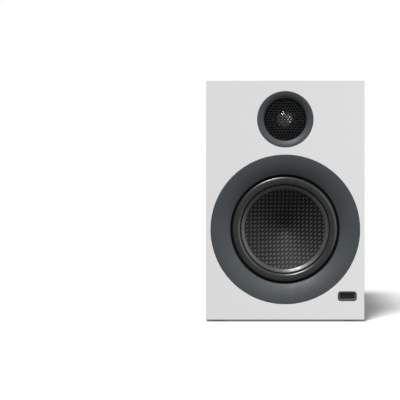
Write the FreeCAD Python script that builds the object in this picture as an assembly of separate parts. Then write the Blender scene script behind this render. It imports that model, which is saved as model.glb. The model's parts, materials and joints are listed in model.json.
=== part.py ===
import FreeCAD, Part
import math
import os

from FreeCAD import Rotation, Vector

# A powered two-way bookshelf speaker: the one of a pair that holds the amplifier.
# Millimetres. X runs to the right as seen from the front, Y from front to back, Z up.
# The origin is on the surface that the feet stand on, below the middle of the overall box.
# Depths are measured back from the baffle's front face, and reaches out from the rear face.

# --- Cabinet -------------------------------------------------------------------------------
CABINET_WIDTH = 178.0
CABINET_HEIGHT = 269.5
CABINET_DEPTH = 215.0
BAFFLE_THICKNESS = 22.0
PANEL_THICKNESS = 12.0
EDGE_RADIUS = 1.0
FOOT_RADIUS = 7.0
FOOT_HEIGHT = 2.0
FOOT_INSET = 14.0
BRACE_THICKNESS = 12.0
BRACE_FRAME = 16.0
BRACE_DEPTH = 100.0
PAD_THICKNESS = 10.0
PAD_MARGIN = 6.0

# --- Fits ----------------------------------------------------------------------------------
SEAT_CLEARANCE = 0.25
SCREW_CLEARANCE = 0.15
GLUE_GAP = 0.3
RUNNING_CLEARANCE = 0.1

# --- Woofer --------------------------------------------------------------------------------
WOOFER_BELOW_RING = 17.8
WOOFER_RING_RADIUS = 83.9
WOOFER_RING_OPENING = 61.7
WOOFER_RING_DISH = 6.5
WOOFER_RING_SEAT = 3.0
RING_LIP = 1.3
RING_EDGE = 0.3
RING_PEG_RADIUS = 2.0
RING_PEG_LENGTH = 6.0
RING_PEGS = 4
ROLL_OUTER_RADIUS = 59.0
ROLL_INNER_RADIUS = 50.4
ROLL_CREST_DEPTH = 4.5
SURROUND_THICKNESS = 0.8
SURROUND_FLANGE_DEPTH = 8.2
SURROUND_FLANGE_WIDTH = 5.9
CONE_RIM_RADIUS = 49.0
CONE_RIM_WIDTH = 4.1
CONE_RIM_DEPTH = 9.0
CONE_EDGE_SLOPE = 32.0
CONE_NOSE_SLOPE = 24.0
CONE_NOSE_RADIUS = 7.0
CONE_WALL = 0.9
BASKET_FLANGE_RADIUS = 73.0
BASKET_FLANGE_THICKNESS = 3.0
BASKET_WALL = 2.5
BASKET_SHELF_DEPTH = 44.0
BASKET_SHELF_WIDTH = 8.0
BASKET_SHELF_RADIUS = 45.0
BASKET_BACK_DEPTH = 52.5
BASKET_ARMS = 6
BASKET_WINDOW_WIDTH = 36.0
WOOFER_SCREWS = 4
WOOFER_SCREW_CIRCLE = 69.0
WOOFER_SCREW_RADIUS = 2.0
WOOFER_SCREW_HEAD = 3.8
WOOFER_SCREW_HEAD_HEIGHT = 2.0
WOOFER_SCREW_LENGTH = 12.0
COIL_INNER_RADIUS = 16.0
FORMER_WALL = 0.25
WINDING_THICKNESS = 0.65
WINDING_LENGTH = 12.0
FORMER_TAIL = 0.8
GAP_CLEARANCE = 0.5
WOOFER_TOP_PLATE = 6.0
WOOFER_PLATE_RADIUS = 40.0
WOOFER_MAGNET_RADIUS = 43.0
WOOFER_MAGNET_BORE = 22.5
WOOFER_MAGNET_LENGTH = 15.0
WOOFER_BACK_PLATE = 6.0
WOOFER_VENT_RADIUS = 5.0
SPIDER_THICKNESS = 0.5
SPIDER_WAVES = 4
SPIDER_WAVE_HEIGHT = 1.4

# --- Tweeter -------------------------------------------------------------------------------
RING_GAP = 8.4
TWEETER_RING_RADIUS = 31.5
TWEETER_RING_OPENING = 23.9
TWEETER_RING_DISH = 3.2
GRILLE_THICKNESS = 0.8
GRILLE_OVERLAP = 1.3
GRILLE_PITCH = 3.37
GRILLE_WIRE = 1.15
CHASSIS_FLANGE_RADIUS = 30.0
CHASSIS_FLANGE_THICKNESS = 3.0
CHASSIS_SKIRT_RADIUS = 25.2
CHASSIS_WALL = 2.6
THROAT_END_DEPTH = 14.2
THROAT_CLEARANCE = 0.4
DOME_RADIUS = 12.5
DOME_HEIGHT = 5.3
DOME_WALL = 0.35
DOME_BASE_DEPTH = 14.8
DOME_ROLL_WIDTH = 2.2
DOME_ROLL_HEIGHT = 0.9
TWEETER_COIL_INSET = 0.3
TWEETER_COIL_WALL = 0.5
TWEETER_COIL_LENGTH = 4.6
TWEETER_GAP_CLEARANCE = 0.3
TWEETER_TOP_PLATE = 2.5
TWEETER_MAGNET_GAP = 2.8
TWEETER_MAGNET_LENGTH = 9.0
TWEETER_BACK_PLATE = 3.0
TWEETER_VENT_RADIUS = 2.0
TWEETER_SCREWS = 3
TWEETER_SCREW_RADIUS = 1.1
TWEETER_SCREW_HEAD = 1.9
TWEETER_SCREW_HEAD_HEIGHT = 1.2
TWEETER_SCREW_LENGTH = 12.0

# --- Status window -------------------------------------------------------------------------
WINDOW_WIDTH = 20.9
WINDOW_HEIGHT = 10.6
WINDOW_CORNER = 3.2
WINDOW_SIDE_MARGIN = 8.9
WINDOW_CENTRE_HEIGHT = 26.6
WINDOW_RIM = 1.1
WINDOW_SLOPE = 1.3
WINDOW_LENS_DEPTH = 1.5
WINDOW_LENS_THICKNESS = 1.2
WINDOW_HOUSING_DEPTH = 8.0
WINDOW_POCKET_DEPTH = 12.0
LIGHT_BOARD_THICKNESS = 1.2

# --- Reflex port ---------------------------------------------------------------------------
PORT_RADIUS = 20.0
PORT_WALL = 2.0
PORT_LENGTH = 100.0
PORT_FLARE = 9.0
PORT_FLANGE_WIDTH = 4.0
PORT_FLANGE_THICKNESS = 1.5
PORT_BELOW_TOP = 54.5

# --- Amplifier plate -----------------------------------------------------------------------
PLATE_WIDTH = 122.0
PLATE_HEIGHT = 152.0
PLATE_THICKNESS = 2.5
PLATE_CORNER = 4.0
PLATE_ABOVE_BOTTOM = 17.0
PLATE_LEDGE = 9.0
PLATE_SCREW_RADIUS = 1.5
PLATE_SCREW_HEAD = 3.0
PLATE_SCREW_HEAD_HEIGHT = 1.6
PLATE_SCREW_LENGTH = 9.0

# --- Controls ------------------------------------------------------------------------------
KNOB_X = 34.0
KNOB_RISE = 56.0
KNOB_RADIUS = 12.5
KNOB_HEIGHT = 14.0
KNOB_STANDOFF = 1.0
KNOB_FLUTES = 30
KNOB_FLUTE_RADIUS = 0.7
KNOB_SHELL = 2.2
SHAFT_RADIUS = 3.0
SHAFT_REACH = 12.0
BUSH_RADIUS = 4.4
BUSH_REACH = 5.0
NUT_ACROSS_FLATS = 13.0
NUT_THICKNESS = 2.2
CONTROL_SIZE = 17.0
CONTROL_DEPTH = 8.0
SHAFT_TAIL = 5.0
BUTTON_X = 2.0
BUTTON_RADIUS = 4.0
BUTTON_REACH = 2.0
BUTTON_FLANGE = 1.2
BUTTON_LENGTH = 8.0
BUTTON_TRAVEL = 1.0
BUTTON_SWITCH_SIZE = 6.2
SWITCH_POST_RADIUS = 1.0
SWITCH_POST_CLEARANCE = 0.4
SWITCH_POST_MARGIN = 0.4
BUTTON_SWITCH_DEPTH = 4.0
ROCKER_X = 36.0
ROCKER_RISE = -50.0
ROCKER_HALF_LENGTH = 8.2
ROCKER_WIDTH = 10.4
ROCKER_TIP = 3.4
ROCKER_MIDDLE = 2.0
ROCKER_KEEL = 4.5
ROCKER_PIVOT_REACH = -0.5
ROCKER_TILT = 8.0
ROCKER_PIN_RADIUS = 1.0
ROCKER_PIN_LENGTH = 0.8
SWITCH_WALL = 1.4
SWITCH_RIM = 1.6
SWITCH_RIM_THICKNESS = 1.2
SWITCH_BODY_DEPTH = 17.0

# --- Sockets -------------------------------------------------------------------------------
INLET_X = -34.0
INLET_RISE = -50.0
INLET_SOCKET_RADIUS = 4.1
INLET_SOCKET_PITCH = 7.2
INLET_SOCKET_DEPTH = 11.0
INLET_PIN_RADIUS = 1.2
INLET_PIN_PITCH = 8.6
INLET_PIN_LENGTH = 9.0
INLET_FLANGE_WIDTH = 30.0
INLET_FLANGE_HEIGHT = 17.0
INLET_FLANGE_THICKNESS = 1.5
INLET_WALL = 1.6
LINE_JACK_X = (-44.0, -28.0)
LINE_JACK_RISE = 56.0
LINE_SHELL_RADIUS = 4.15
LINE_SHELL_WALL = 0.6
LINE_SHELL_REACH = 9.0
LINE_COLLAR_RADIUS = 6.0
LINE_COLLAR_THICKNESS = 1.2
LINE_CONTACT_RADIUS = 1.6
LINE_CONTACT_DEPTH = 8.0
JACK_BODY_DEPTH = 8.0
AUX_X = -12.0
AUX_RADIUS = 1.75
AUX_BUSH_RADIUS = 3.5
AUX_NUT_RADIUS = 5.2
AUX_BUSH_REACH = 2.4
AUX_DEPTH = 13.0
POST_X = (-9.5, 9.5)
POST_RISE = 10.0
POST_RADIUS = 2.9
POST_REACH = 17.0
POST_TAIL = 12.0
BANANA_RADIUS = 2.05
BANANA_DEPTH = 9.2
COLLAR_RADIUS = 7.2
COLLAR_REACH = 4.0
COLLAR_NECK = 4.6
WASHER_THICKNESS = 0.8
WASHER_RADIUS = 6.0
CAP_RADIUS = 7.0
CAP_HEIGHT = 14.0
CAP_END_WALL = 1.3
CAP_FLUTES = 12
CAP_FLUTE_RADIUS = 1.1
CAP_TRAVEL = 4.0
STACK_GAP = 0.1

# --- Electronics ---------------------------------------------------------------------------
BOARD_WIDTH = 88.0
BOARD_HEIGHT = 112.0
BOARD_THICKNESS = 1.6
BOARD_STANDOFF = 26.0
HEAT_SINK_WIDTH = 78.0
HEAT_SINK_HEIGHT = 16.0
HEAT_SINK_WALL = 3.0
HEAT_SINK_FINS = 9
HEAT_SINK_FIN_LENGTH = 9.0
HEAT_SINK_FIN_THICKNESS = 1.2
HEAT_SINK_RISE = 31.0
TRANSFORMER_SIZE = (36.0, 28.0, 32.0)
TRANSFORMER_RISE = -34.0
TRANSFORMER_CORE_LIP = 3.0
CAPACITOR_RADIUS = 8.0
CAPACITOR_HEIGHT = 26.0
CAPACITOR_RISE = 4.0
CAPACITOR_XS = (-26.0, 26.0)
TERMINAL_WIDTH = 14.0
TERMINAL_HEIGHT = 7.0
TERMINAL_THICKNESS = 2.0
BLADE_WIDTH = 2.8
BLADE_LENGTH = 6.0
BLADE_THICKNESS = 0.8
WOOFER_TERMINAL_RISE = 21.0
TWEETER_TERMINAL_RISE = 9.0
CABLE_RADIUS = 1.6

# --- Places worked out from the sizes above -----------------------------------------------
COLLAR_FACE = COLLAR_REACH + STACK_GAP
CAP_FOOT = COLLAR_FACE + WASHER_THICKNESS + STACK_GAP
REAR_REACH = max(CAP_FOOT + CAP_HEIGHT, KNOB_STANDOFF + KNOB_HEIGHT, LINE_SHELL_REACH)
FRONT = -(CABINET_DEPTH + REAR_REACH) / 2
REAR = FRONT + CABINET_DEPTH
BOTTOM = FOOT_HEIGHT
TOP = BOTTOM + CABINET_HEIGHT
HALF_WIDTH = CABINET_WIDTH / 2
INSIDE_X = HALF_WIDTH - PANEL_THICKNESS
INSIDE_BOTTOM = BOTTOM + PANEL_THICKNESS
INSIDE_TOP = TOP - PANEL_THICKNESS
INSIDE_REAR = REAR - PANEL_THICKNESS

WOOFER_Z = BOTTOM + WOOFER_BELOW_RING + WOOFER_RING_RADIUS
TWEETER_Z = WOOFER_Z + WOOFER_RING_RADIUS + RING_GAP + TWEETER_RING_RADIUS
PORT_Z = TOP - PORT_BELOW_TOP
PLATE_Z = BOTTOM + PLATE_ABOVE_BOTTOM + PLATE_HEIGHT / 2
PLATE_BACK = REAR - PLATE_THICKNESS
WINDOW_X = HALF_WIDTH - WINDOW_SIDE_MARGIN - WINDOW_WIDTH / 2
WINDOW_Z = BOTTOM + WINDOW_CENTRE_HEIGHT

BASKET_FLANGE_DEPTH = SURROUND_FLANGE_DEPTH + SURROUND_THICKNESS
FLANGE_SEAT_DEPTH = BASKET_FLANGE_DEPTH + BASKET_FLANGE_THICKNESS
BASKET_NECK_RADIUS = ROLL_OUTER_RADIUS + 1.0
FORMER_OUTER_RADIUS = COIL_INNER_RADIUS + FORMER_WALL
WINDING_RADIUS = FORMER_OUTER_RADIUS + WINDING_THICKNESS
MAGNET_DEPTH = BASKET_BACK_DEPTH + WOOFER_TOP_PLATE
YOKE_DEPTH = MAGNET_DEPTH + WOOFER_MAGNET_LENGTH
WINDING_START = BASKET_BACK_DEPTH + WOOFER_TOP_PLATE / 2 - WINDING_LENGTH / 2
FORMER_END = WINDING_START + WINDING_LENGTH + FORMER_TAIL
CONE_RADIUS = CONE_RIM_RADIUS - CONE_RIM_WIDTH
CONE_EDGE_DEPTH = CONE_RIM_DEPTH + CONE_RIM_WIDTH * math.tan(math.radians(CONE_EDGE_SLOPE))

GRILLE_DEPTH = TWEETER_RING_DISH + 0.2
CHASSIS_DEPTH = GRILLE_DEPTH + GRILLE_THICKNESS
CHASSIS_SEAT = CHASSIS_DEPTH + CHASSIS_FLANGE_THICKNESS
GRILLE_RADIUS = TWEETER_RING_OPENING + GRILLE_OVERLAP
TWEETER_PLATE_DEPTH = DOME_BASE_DEPTH + DOME_WALL
THROAT_RADIUS = DOME_RADIUS + GLUE_GAP + DOME_ROLL_WIDTH + THROAT_CLEARANCE
TWEETER_COIL_RADIUS = DOME_RADIUS - TWEETER_COIL_INSET
TWEETER_MAGNET_BORE = TWEETER_COIL_RADIUS + TWEETER_COIL_WALL + TWEETER_MAGNET_GAP
TWEETER_PLATE_RADIUS = CHASSIS_SKIRT_RADIUS - CHASSIS_WALL - SEAT_CLEARANCE
TWEETER_MAGNET_DEPTH = TWEETER_PLATE_DEPTH + TWEETER_TOP_PLATE
TWEETER_YOKE_DEPTH = TWEETER_MAGNET_DEPTH + TWEETER_MAGNET_LENGTH
TWEETER_SCREW_CIRCLE = (CHASSIS_SKIRT_RADIUS + CHASSIS_FLANGE_RADIUS) / 2

ROCKER_Z = PLATE_Z + ROCKER_RISE
ROCKER_Y = REAR + ROCKER_PIVOT_REACH
BOARD_FRONT = PLATE_BACK - BOARD_STANDOFF


# --- Shape helpers -------------------------------------------------------------------------
def block(x_range, y_range, z_range):
    """A box between the given lowest and highest X, Y and Z."""
    low = Vector(x_range[0], y_range[0], z_range[0])
    return Part.makeBox(
        x_range[1] - x_range[0], y_range[1] - y_range[0], z_range[1] - z_range[0], low
    )


def centred_block(x, z, width, height, y_range):
    """A box of that width and height about (x, z), from the first Y to the second."""
    return block((x - width / 2, x + width / 2), y_range, (z - height / 2, z + height / 2))


def rod(x, z, radius, y_range):
    """A cylinder along Y."""
    return Part.makeCylinder(
        radius, y_range[1] - y_range[0], Vector(x, y_range[0], z), Vector(0, 1, 0)
    )


def tube(x, z, outer, inner, y_range):
    """A hollow cylinder along Y."""
    return rod(x, z, outer, y_range).cut(rod(x, z, inner, y_range))


def rounded_block(x, z, width, height, corner, y_range):
    """A box with its four edges along Y rounded."""
    solid = centred_block(x, z, width, height, y_range)
    upright = [e for e in solid.Edges if abs(e.tangentAt(e.FirstParameter).y) > 0.9]
    return solid.makeFillet(corner, upright)


def hexagon(x, z, across_flats, y_range):
    """A hexagonal prism along Y, with corners at its top and bottom."""
    corner = across_flats / math.sqrt(3)
    angles = [math.radians(60 * i + 90) for i in range(7)]
    points = [
        Vector(x + corner * math.cos(a), y_range[0], z + corner * math.sin(a)) for a in angles
    ]
    face = Part.Face(Part.makePolygon(points))
    return face.extrude(Vector(0, y_range[1] - y_range[0], 0))


def turned(outline, axis_x, axis_z, base_y):
    """A solid of revolution about a line along Y. The outline is a closed list of
    (radius, distance back from base_y); an entry ("arc", middle, end) is an arc."""

    def place(point):
        return Vector(axis_x + point[0], base_y + point[1], axis_z)

    edges = []
    here = outline[0]
    for step in outline[1:] + [outline[0]]:
        if step[0] == "arc":
            edges.append(Part.Arc(place(here), place(step[1]), place(step[2])).toShape())
            here = step[2]
        elif step != here:
            edges.append(Part.LineSegment(place(here), place(step)).toShape())
            here = step
    face = Part.Face(Part.Wire(edges))
    return face.revolve(Vector(axis_x, base_y, axis_z), Vector(0, 1, 0), 360)


def around(count, first_angle=0.0):
    """Evenly spaced angles in degrees."""
    return [first_angle + 360.0 * i / count for i in range(count)]


def polar(radius, angle):
    """X and Z offsets of a point on a circle."""
    return radius * math.cos(math.radians(angle)), radius * math.sin(math.radians(angle))


def cut_all(solid, tools):
    """The solid with every tool cut away."""
    return solid.cut(tools) if tools else solid


def hex_grid(radius, pitch, margin):
    """Centres of a hexagonal grid that stay that margin inside a circle."""
    rows = int(radius / (pitch * math.sqrt(3) / 2)) + 1
    columns = int(radius / pitch) + 1
    centres = []
    for row in range(-rows, rows + 1):
        for column in range(-columns, columns + 1):
            x = pitch * (column + 0.5 * (row % 2))
            z = pitch * row * math.sqrt(3) / 2
            if math.hypot(x, z) < radius - margin:
                centres.append((x, z))
    return centres


# --- Cabinet -------------------------------------------------------------------------------
def soften(solid, is_outer_edge):
    """Rounds the edges that the test picks by their middle point and direction."""
    chosen = []
    for edge in solid.Edges:
        middle = edge.valueAt((edge.FirstParameter + edge.LastParameter) / 2)
        direction = edge.tangentAt(edge.FirstParameter)
        if edge.Curve.TypeId == "Part::GeomLine" and is_outer_edge(middle, direction):
            chosen.append(edge)
    return solid.makeFillet(EDGE_RADIUS, chosen)


def near(a, b):
    return abs(a - b) < 0.01


def on_cabinet_corner(point):
    """Whether a point lies on one of the cabinet's four long edges along Y."""
    at_side = near(abs(point.x), HALF_WIDTH)
    return at_side and (near(point.z, BOTTOM) or near(point.z, TOP))


def woofer_bores():
    """What the woofer and its trim ring need cut from the baffle."""
    back = FRONT + BAFFLE_THICKNESS
    basket_hole = BASKET_NECK_RADIUS + BASKET_WALL + 2.0
    bores = [
        rod(0, WOOFER_Z, WOOFER_RING_RADIUS + SEAT_CLEARANCE, (FRONT, FRONT + WOOFER_RING_SEAT)),
        rod(0, WOOFER_Z, BASKET_FLANGE_RADIUS + SEAT_CLEARANCE, (FRONT, FRONT + FLANGE_SEAT_DEPTH)),
        rod(0, WOOFER_Z, basket_hole, (FRONT, back)),
    ]
    screw_end = FRONT + BASKET_FLANGE_DEPTH + WOOFER_SCREW_LENGTH + 0.5
    for x, z in woofer_screw_places():
        hole = WOOFER_SCREW_RADIUS + SCREW_CLEARANCE
        bores.append(rod(x, z, hole, (FRONT + FLANGE_SEAT_DEPTH, screw_end)))
    for x, z in ring_peg_places():
        end = FRONT + WOOFER_RING_SEAT + RING_PEG_LENGTH + 0.5
        bores.append(rod(x, z, RING_PEG_RADIUS + SCREW_CLEARANCE, (FRONT + WOOFER_RING_SEAT, end)))
    return bores


def tweeter_bores():
    """What the tweeter and its trim ring need cut from the baffle."""
    back = FRONT + BAFFLE_THICKNESS
    bores = [
        rod(0, TWEETER_Z, TWEETER_RING_RADIUS + SEAT_CLEARANCE, (FRONT, FRONT + CHASSIS_SEAT)),
        rod(0, TWEETER_Z, CHASSIS_SKIRT_RADIUS + SEAT_CLEARANCE, (FRONT, back)),
    ]
    end = FRONT + CHASSIS_DEPTH + TWEETER_SCREW_LENGTH + 0.5
    for x, z in tweeter_screw_places():
        hole = TWEETER_SCREW_RADIUS + SCREW_CLEARANCE
        bores.append(rod(x, z, hole, (FRONT + CHASSIS_SEAT, end)))
    return bores


def window_bores():
    """The status window's pocket and the hole for its wires."""
    pocket = rounded_block(
        WINDOW_X,
        WINDOW_Z,
        WINDOW_WIDTH + 2 * SEAT_CLEARANCE,
        WINDOW_HEIGHT + 2 * SEAT_CLEARANCE,
        WINDOW_CORNER + SEAT_CLEARANCE,
        (FRONT, FRONT + WINDOW_POCKET_DEPTH),
    )
    wire_x = min(WINDOW_X, INSIDE_X - WINDOW_HEIGHT / 2)
    wires = rod(wire_x, WINDOW_Z, 2.0, (FRONT + WINDOW_POCKET_DEPTH, FRONT + BAFFLE_THICKNESS))
    return [pocket, wires]


def front_baffle():
    solid = block((-HALF_WIDTH, HALF_WIDTH), (FRONT, FRONT + BAFFLE_THICKNESS), (BOTTOM, TOP))
    solid = soften(solid, lambda p, d: near(p.y, FRONT) or on_cabinet_corner(p))
    return cut_all(solid, woofer_bores() + tweeter_bores() + window_bores())


def cap_panel(z_range, outer_z):
    """The top or the bottom panel, with its outer edges rounded."""
    solid = block((-HALF_WIDTH, HALF_WIDTH), (FRONT + BAFFLE_THICKNESS, REAR), z_range)

    def outer(point, direction):
        return on_cabinet_corner(point) or (near(point.y, REAR) and near(point.z, outer_z))

    return soften(solid, outer)


def top_panel():
    return cap_panel((INSIDE_TOP, TOP), TOP)


def bottom_panel():
    return cap_panel((BOTTOM, INSIDE_BOTTOM), BOTTOM)


def side_panel(side):
    """The left panel for side -1, the right one for side 1."""
    x_range = sorted((side * INSIDE_X, side * HALF_WIDTH))
    solid = block(x_range, (FRONT + BAFFLE_THICKNESS, REAR), (INSIDE_BOTTOM, INSIDE_TOP))
    return soften(solid, lambda p, d: near(p.y, REAR) and near(p.x, side * HALF_WIDTH))


def rear_panel():
    solid = block((-INSIDE_X, INSIDE_X), (INSIDE_REAR, REAR), (INSIDE_BOTTOM, INSIDE_TOP))
    rebate = rounded_block(
        0,
        PLATE_Z,
        PLATE_WIDTH + 2 * SEAT_CLEARANCE,
        PLATE_HEIGHT + 2 * SEAT_CLEARANCE,
        PLATE_CORNER + SEAT_CLEARANCE,
        (PLATE_BACK, REAR),
    )
    opening = centred_block(
        0,
        PLATE_Z,
        PLATE_WIDTH - 2 * PLATE_LEDGE,
        PLATE_HEIGHT - 2 * PLATE_LEDGE,
        (INSIDE_REAR, REAR),
    )
    port = rod(0, PORT_Z, PORT_RADIUS + PORT_FLARE + SEAT_CLEARANCE, (INSIDE_REAR, REAR))
    pilot = PLATE_SCREW_RADIUS + SCREW_CLEARANCE
    end = max(PLATE_BACK - PLATE_SCREW_LENGTH - 0.5, INSIDE_REAR)
    pilots = [rod(x, z, pilot, (end, PLATE_BACK)) for x, z in plate_screw_places()]
    return cut_all(solid, [rebate, opening, port] + pilots)


def window_brace():
    y_range = (FRONT + BRACE_DEPTH, FRONT + BRACE_DEPTH + BRACE_THICKNESS)
    frame = block((-INSIDE_X, INSIDE_X), y_range, (INSIDE_BOTTOM, INSIDE_TOP))
    opening_x = INSIDE_X - BRACE_FRAME
    opening_z = (INSIDE_BOTTOM + BRACE_FRAME, INSIDE_TOP - BRACE_FRAME)
    return frame.cut(block((-opening_x, opening_x), y_range, opening_z))


def rubber_feet():
    """Four discs, one near each corner of the bottom panel."""
    x = HALF_WIDTH - FOOT_INSET
    feet = []
    for foot_x in (-x, x):
        for foot_y in (FRONT + FOOT_INSET, REAR - FOOT_INSET):
            feet.append(Part.makeCylinder(FOOT_RADIUS, FOOT_HEIGHT, Vector(foot_x, foot_y, 0)))
    return Part.makeCompound(feet)


def damping_pads():
    """Sheets of wadding on both side walls, behind the brace and clear of the rear panel."""
    front = FRONT + BRACE_DEPTH + BRACE_THICKNESS + PAD_MARGIN
    y_range = (front, INSIDE_REAR - PAD_MARGIN)
    z_range = (INSIDE_BOTTOM + PAD_MARGIN, INSIDE_TOP - PAD_MARGIN)
    inner = INSIDE_X - PAD_THICKNESS
    left = block((-INSIDE_X, -inner), y_range, z_range)
    right = block((inner, INSIDE_X), y_range, z_range)
    return Part.makeCompound([left, right])


# --- Woofer --------------------------------------------------------------------------------
def ring_face_depth(radius, outer, opening, dish):
    """Depth of a flared ring's face: an arc, level with the baffle at its outer edge."""
    run = outer - opening
    curve = (run * run + dish * dish) / (2 * dish)
    inward = outer - radius
    return curve - math.sqrt(curve * curve - inward * inward)


def woofer_ring_face(radius):
    return ring_face_depth(radius, WOOFER_RING_RADIUS, WOOFER_RING_OPENING, WOOFER_RING_DISH)


def ring_peg_places():
    places = [polar((WOOFER_RING_RADIUS + BASKET_FLANGE_RADIUS) / 2, a) for a in around(RING_PEGS, 45)]
    return [(x, WOOFER_Z + z) for x, z in places]


def woofer_screw_places():
    places = [polar(WOOFER_SCREW_CIRCLE, a) for a in around(WOOFER_SCREWS, 45)]
    return [(x, WOOFER_Z + z) for x, z in places]


def woofer_trim_ring():
    """The dished ring round the woofer, with pegs that press into the baffle."""
    opening = WOOFER_RING_OPENING
    middle = (WOOFER_RING_RADIUS + opening) / 2
    start = WOOFER_RING_RADIUS - RING_EDGE
    inner_seat = BASKET_FLANGE_RADIUS - SEAT_CLEARANCE
    shoulder = WOOFER_SCREW_CIRCLE - WOOFER_SCREW_HEAD - 0.5
    lip = WOOFER_RING_DISH + RING_LIP
    outline = [
        (WOOFER_RING_RADIUS, RING_EDGE),
        (start, woofer_ring_face(start)),
        ("arc", (middle, woofer_ring_face(middle)), (opening, WOOFER_RING_DISH)),
        (opening, lip),
        (opening + 1.0, lip + 0.2),
        (shoulder - 0.3, lip),
        (shoulder, lip - 1.6),
        (inner_seat, WOOFER_RING_SEAT),
        (WOOFER_RING_RADIUS, WOOFER_RING_SEAT),
    ]
    ring = turned(outline, 0, WOOFER_Z, FRONT)
    seat = FRONT + WOOFER_RING_SEAT
    pegs = [rod(x, z, RING_PEG_RADIUS, (seat, seat + RING_PEG_LENGTH)) for x, z in ring_peg_places()]
    return ring.fuse(pegs)


def cone_depth(radius):
    """Depth of the cone's front face: a long arc from its edge, then a rounded nose."""
    edge, nose = math.radians(CONE_EDGE_SLOPE), math.radians(CONE_NOSE_SLOPE)
    flare = (CONE_RADIUS - CONE_NOSE_RADIUS) / (math.sin(edge) - math.sin(nose))
    if radius > CONE_NOSE_RADIUS:
        slope = math.asin(math.sin(nose) + (radius - CONE_NOSE_RADIUS) / flare)
        return CONE_EDGE_DEPTH + flare * (math.cos(slope) - math.cos(edge))
    tip = CONE_NOSE_RADIUS / math.sin(nose)
    nose_depth = CONE_EDGE_DEPTH + flare * (math.cos(nose) - math.cos(edge))
    return nose_depth + math.sqrt(tip * tip - radius * radius) - tip * math.cos(nose)


def woofer_cone():
    """A one-piece cone with a smooth rim, of even thickness along the axis."""
    halfway = (CONE_RADIUS + CONE_NOSE_RADIUS) / 2
    half_nose = CONE_NOSE_RADIUS / 2

    def at(radius, back=0.0):
        return (radius, cone_depth(radius) + back)

    outline = [
        (CONE_RIM_RADIUS, CONE_RIM_DEPTH),
        at(CONE_RADIUS),
        ("arc", at(halfway), at(CONE_NOSE_RADIUS)),
        ("arc", at(half_nose), at(0.0)),
        at(0.0, CONE_WALL),
        ("arc", at(half_nose, CONE_WALL), at(CONE_NOSE_RADIUS, CONE_WALL)),
        ("arc", at(halfway, CONE_WALL), at(CONE_RADIUS, CONE_WALL)),
        (CONE_RIM_RADIUS, CONE_RIM_DEPTH + CONE_WALL),
    ]
    return turned(outline, 0, WOOFER_Z, FRONT)


def woofer_surround():
    """A rubber half roll, with one flange on the basket and one behind the cone's rim."""
    wall = SURROUND_THICKNESS
    crest = (ROLL_OUTER_RADIUS + ROLL_INNER_RADIUS) / 2
    rim_slope = math.tan(math.radians(CONE_EDGE_SLOPE))
    foot = CONE_RIM_DEPTH + CONE_WALL + GLUE_GAP
    inner = CONE_RIM_RADIUS - CONE_RIM_WIDTH / 2
    outer = ROLL_OUTER_RADIUS + SURROUND_FLANGE_WIDTH
    outline = [
        (outer, SURROUND_FLANGE_DEPTH),
        (ROLL_OUTER_RADIUS, SURROUND_FLANGE_DEPTH),
        ("arc", (crest, ROLL_CREST_DEPTH), (ROLL_INNER_RADIUS, foot)),
        (CONE_RIM_RADIUS, foot),
        (inner, foot + (CONE_RIM_RADIUS - inner) * rim_slope),
        (inner, foot + wall + (CONE_RIM_RADIUS - inner) * rim_slope),
        (CONE_RIM_RADIUS, foot + wall),
        (ROLL_INNER_RADIUS + wall, foot + wall),
        (
            "arc",
            (crest, ROLL_CREST_DEPTH + wall),
            (ROLL_OUTER_RADIUS - wall, SURROUND_FLANGE_DEPTH + wall),
        ),
        (outer, SURROUND_FLANGE_DEPTH + wall),
    ]
    return turned(outline, 0, WOOFER_Z, FRONT)


def basket_windows():
    """Cutters for the openings between the basket's arms."""
    start = FLANGE_SEAT_DEPTH + 3.0
    end = BASKET_SHELF_DEPTH - 3.0
    centre = Vector(0, 0, WOOFER_Z)
    cutters = []
    for angle in around(BASKET_ARMS):
        half = BASKET_WINDOW_WIDTH / 2
        cutter = block(
            (BASKET_SHELF_RADIUS - BASKET_SHELF_WIDTH, BASKET_FLANGE_RADIUS),
            (FRONT + start, FRONT + end),
            (WOOFER_Z - half, WOOFER_Z + half),
        )
        cutter.rotate(centre, Vector(0, 1, 0), angle)
        cutters.append(cutter)
    return cutters


def woofer_basket():
    neck = BASKET_NECK_RADIUS
    shelf = BASKET_SHELF_RADIUS
    wall = BASKET_WALL
    back = BASKET_BACK_DEPTH
    outline = [
        (neck, BASKET_FLANGE_DEPTH),
        (BASKET_FLANGE_RADIUS, BASKET_FLANGE_DEPTH),
        (BASKET_FLANGE_RADIUS, FLANGE_SEAT_DEPTH),
        (neck + wall, FLANGE_SEAT_DEPTH),
        (neck + wall, BAFFLE_THICKNESS),
        (shelf + wall, BASKET_SHELF_DEPTH),
        (shelf + wall, back),
        (WINDING_RADIUS + 4.0, back),
        (WINDING_RADIUS + 4.0, back - wall),
        (shelf - wall, back - wall),
        (shelf - wall, BASKET_SHELF_DEPTH + wall),
        (shelf - BASKET_SHELF_WIDTH, BASKET_SHELF_DEPTH + wall),
        (shelf - BASKET_SHELF_WIDTH, BASKET_SHELF_DEPTH),
        (shelf, BASKET_SHELF_DEPTH),
        (neck, BAFFLE_THICKNESS - wall),
    ]
    holes = [
        rod(x, z, WOOFER_SCREW_RADIUS + SEAT_CLEARANCE, (FRONT, FRONT + FLANGE_SEAT_DEPTH + 1.0))
        for x, z in woofer_screw_places()
    ]
    return cut_all(turned(outline, 0, WOOFER_Z, FRONT), basket_windows() + holes)


def woofer_coil_former():
    top = cone_depth(COIL_INNER_RADIUS) + CONE_WALL
    y_range = (FRONT + top, FRONT + FORMER_END)
    return tube(0, WOOFER_Z, FORMER_OUTER_RADIUS, COIL_INNER_RADIUS, y_range)


def woofer_voice_coil():
    start = FRONT + WINDING_START
    y_range = (start, start + WINDING_LENGTH)
    return tube(0, WOOFER_Z, WINDING_RADIUS, FORMER_OUTER_RADIUS, y_range)


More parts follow.
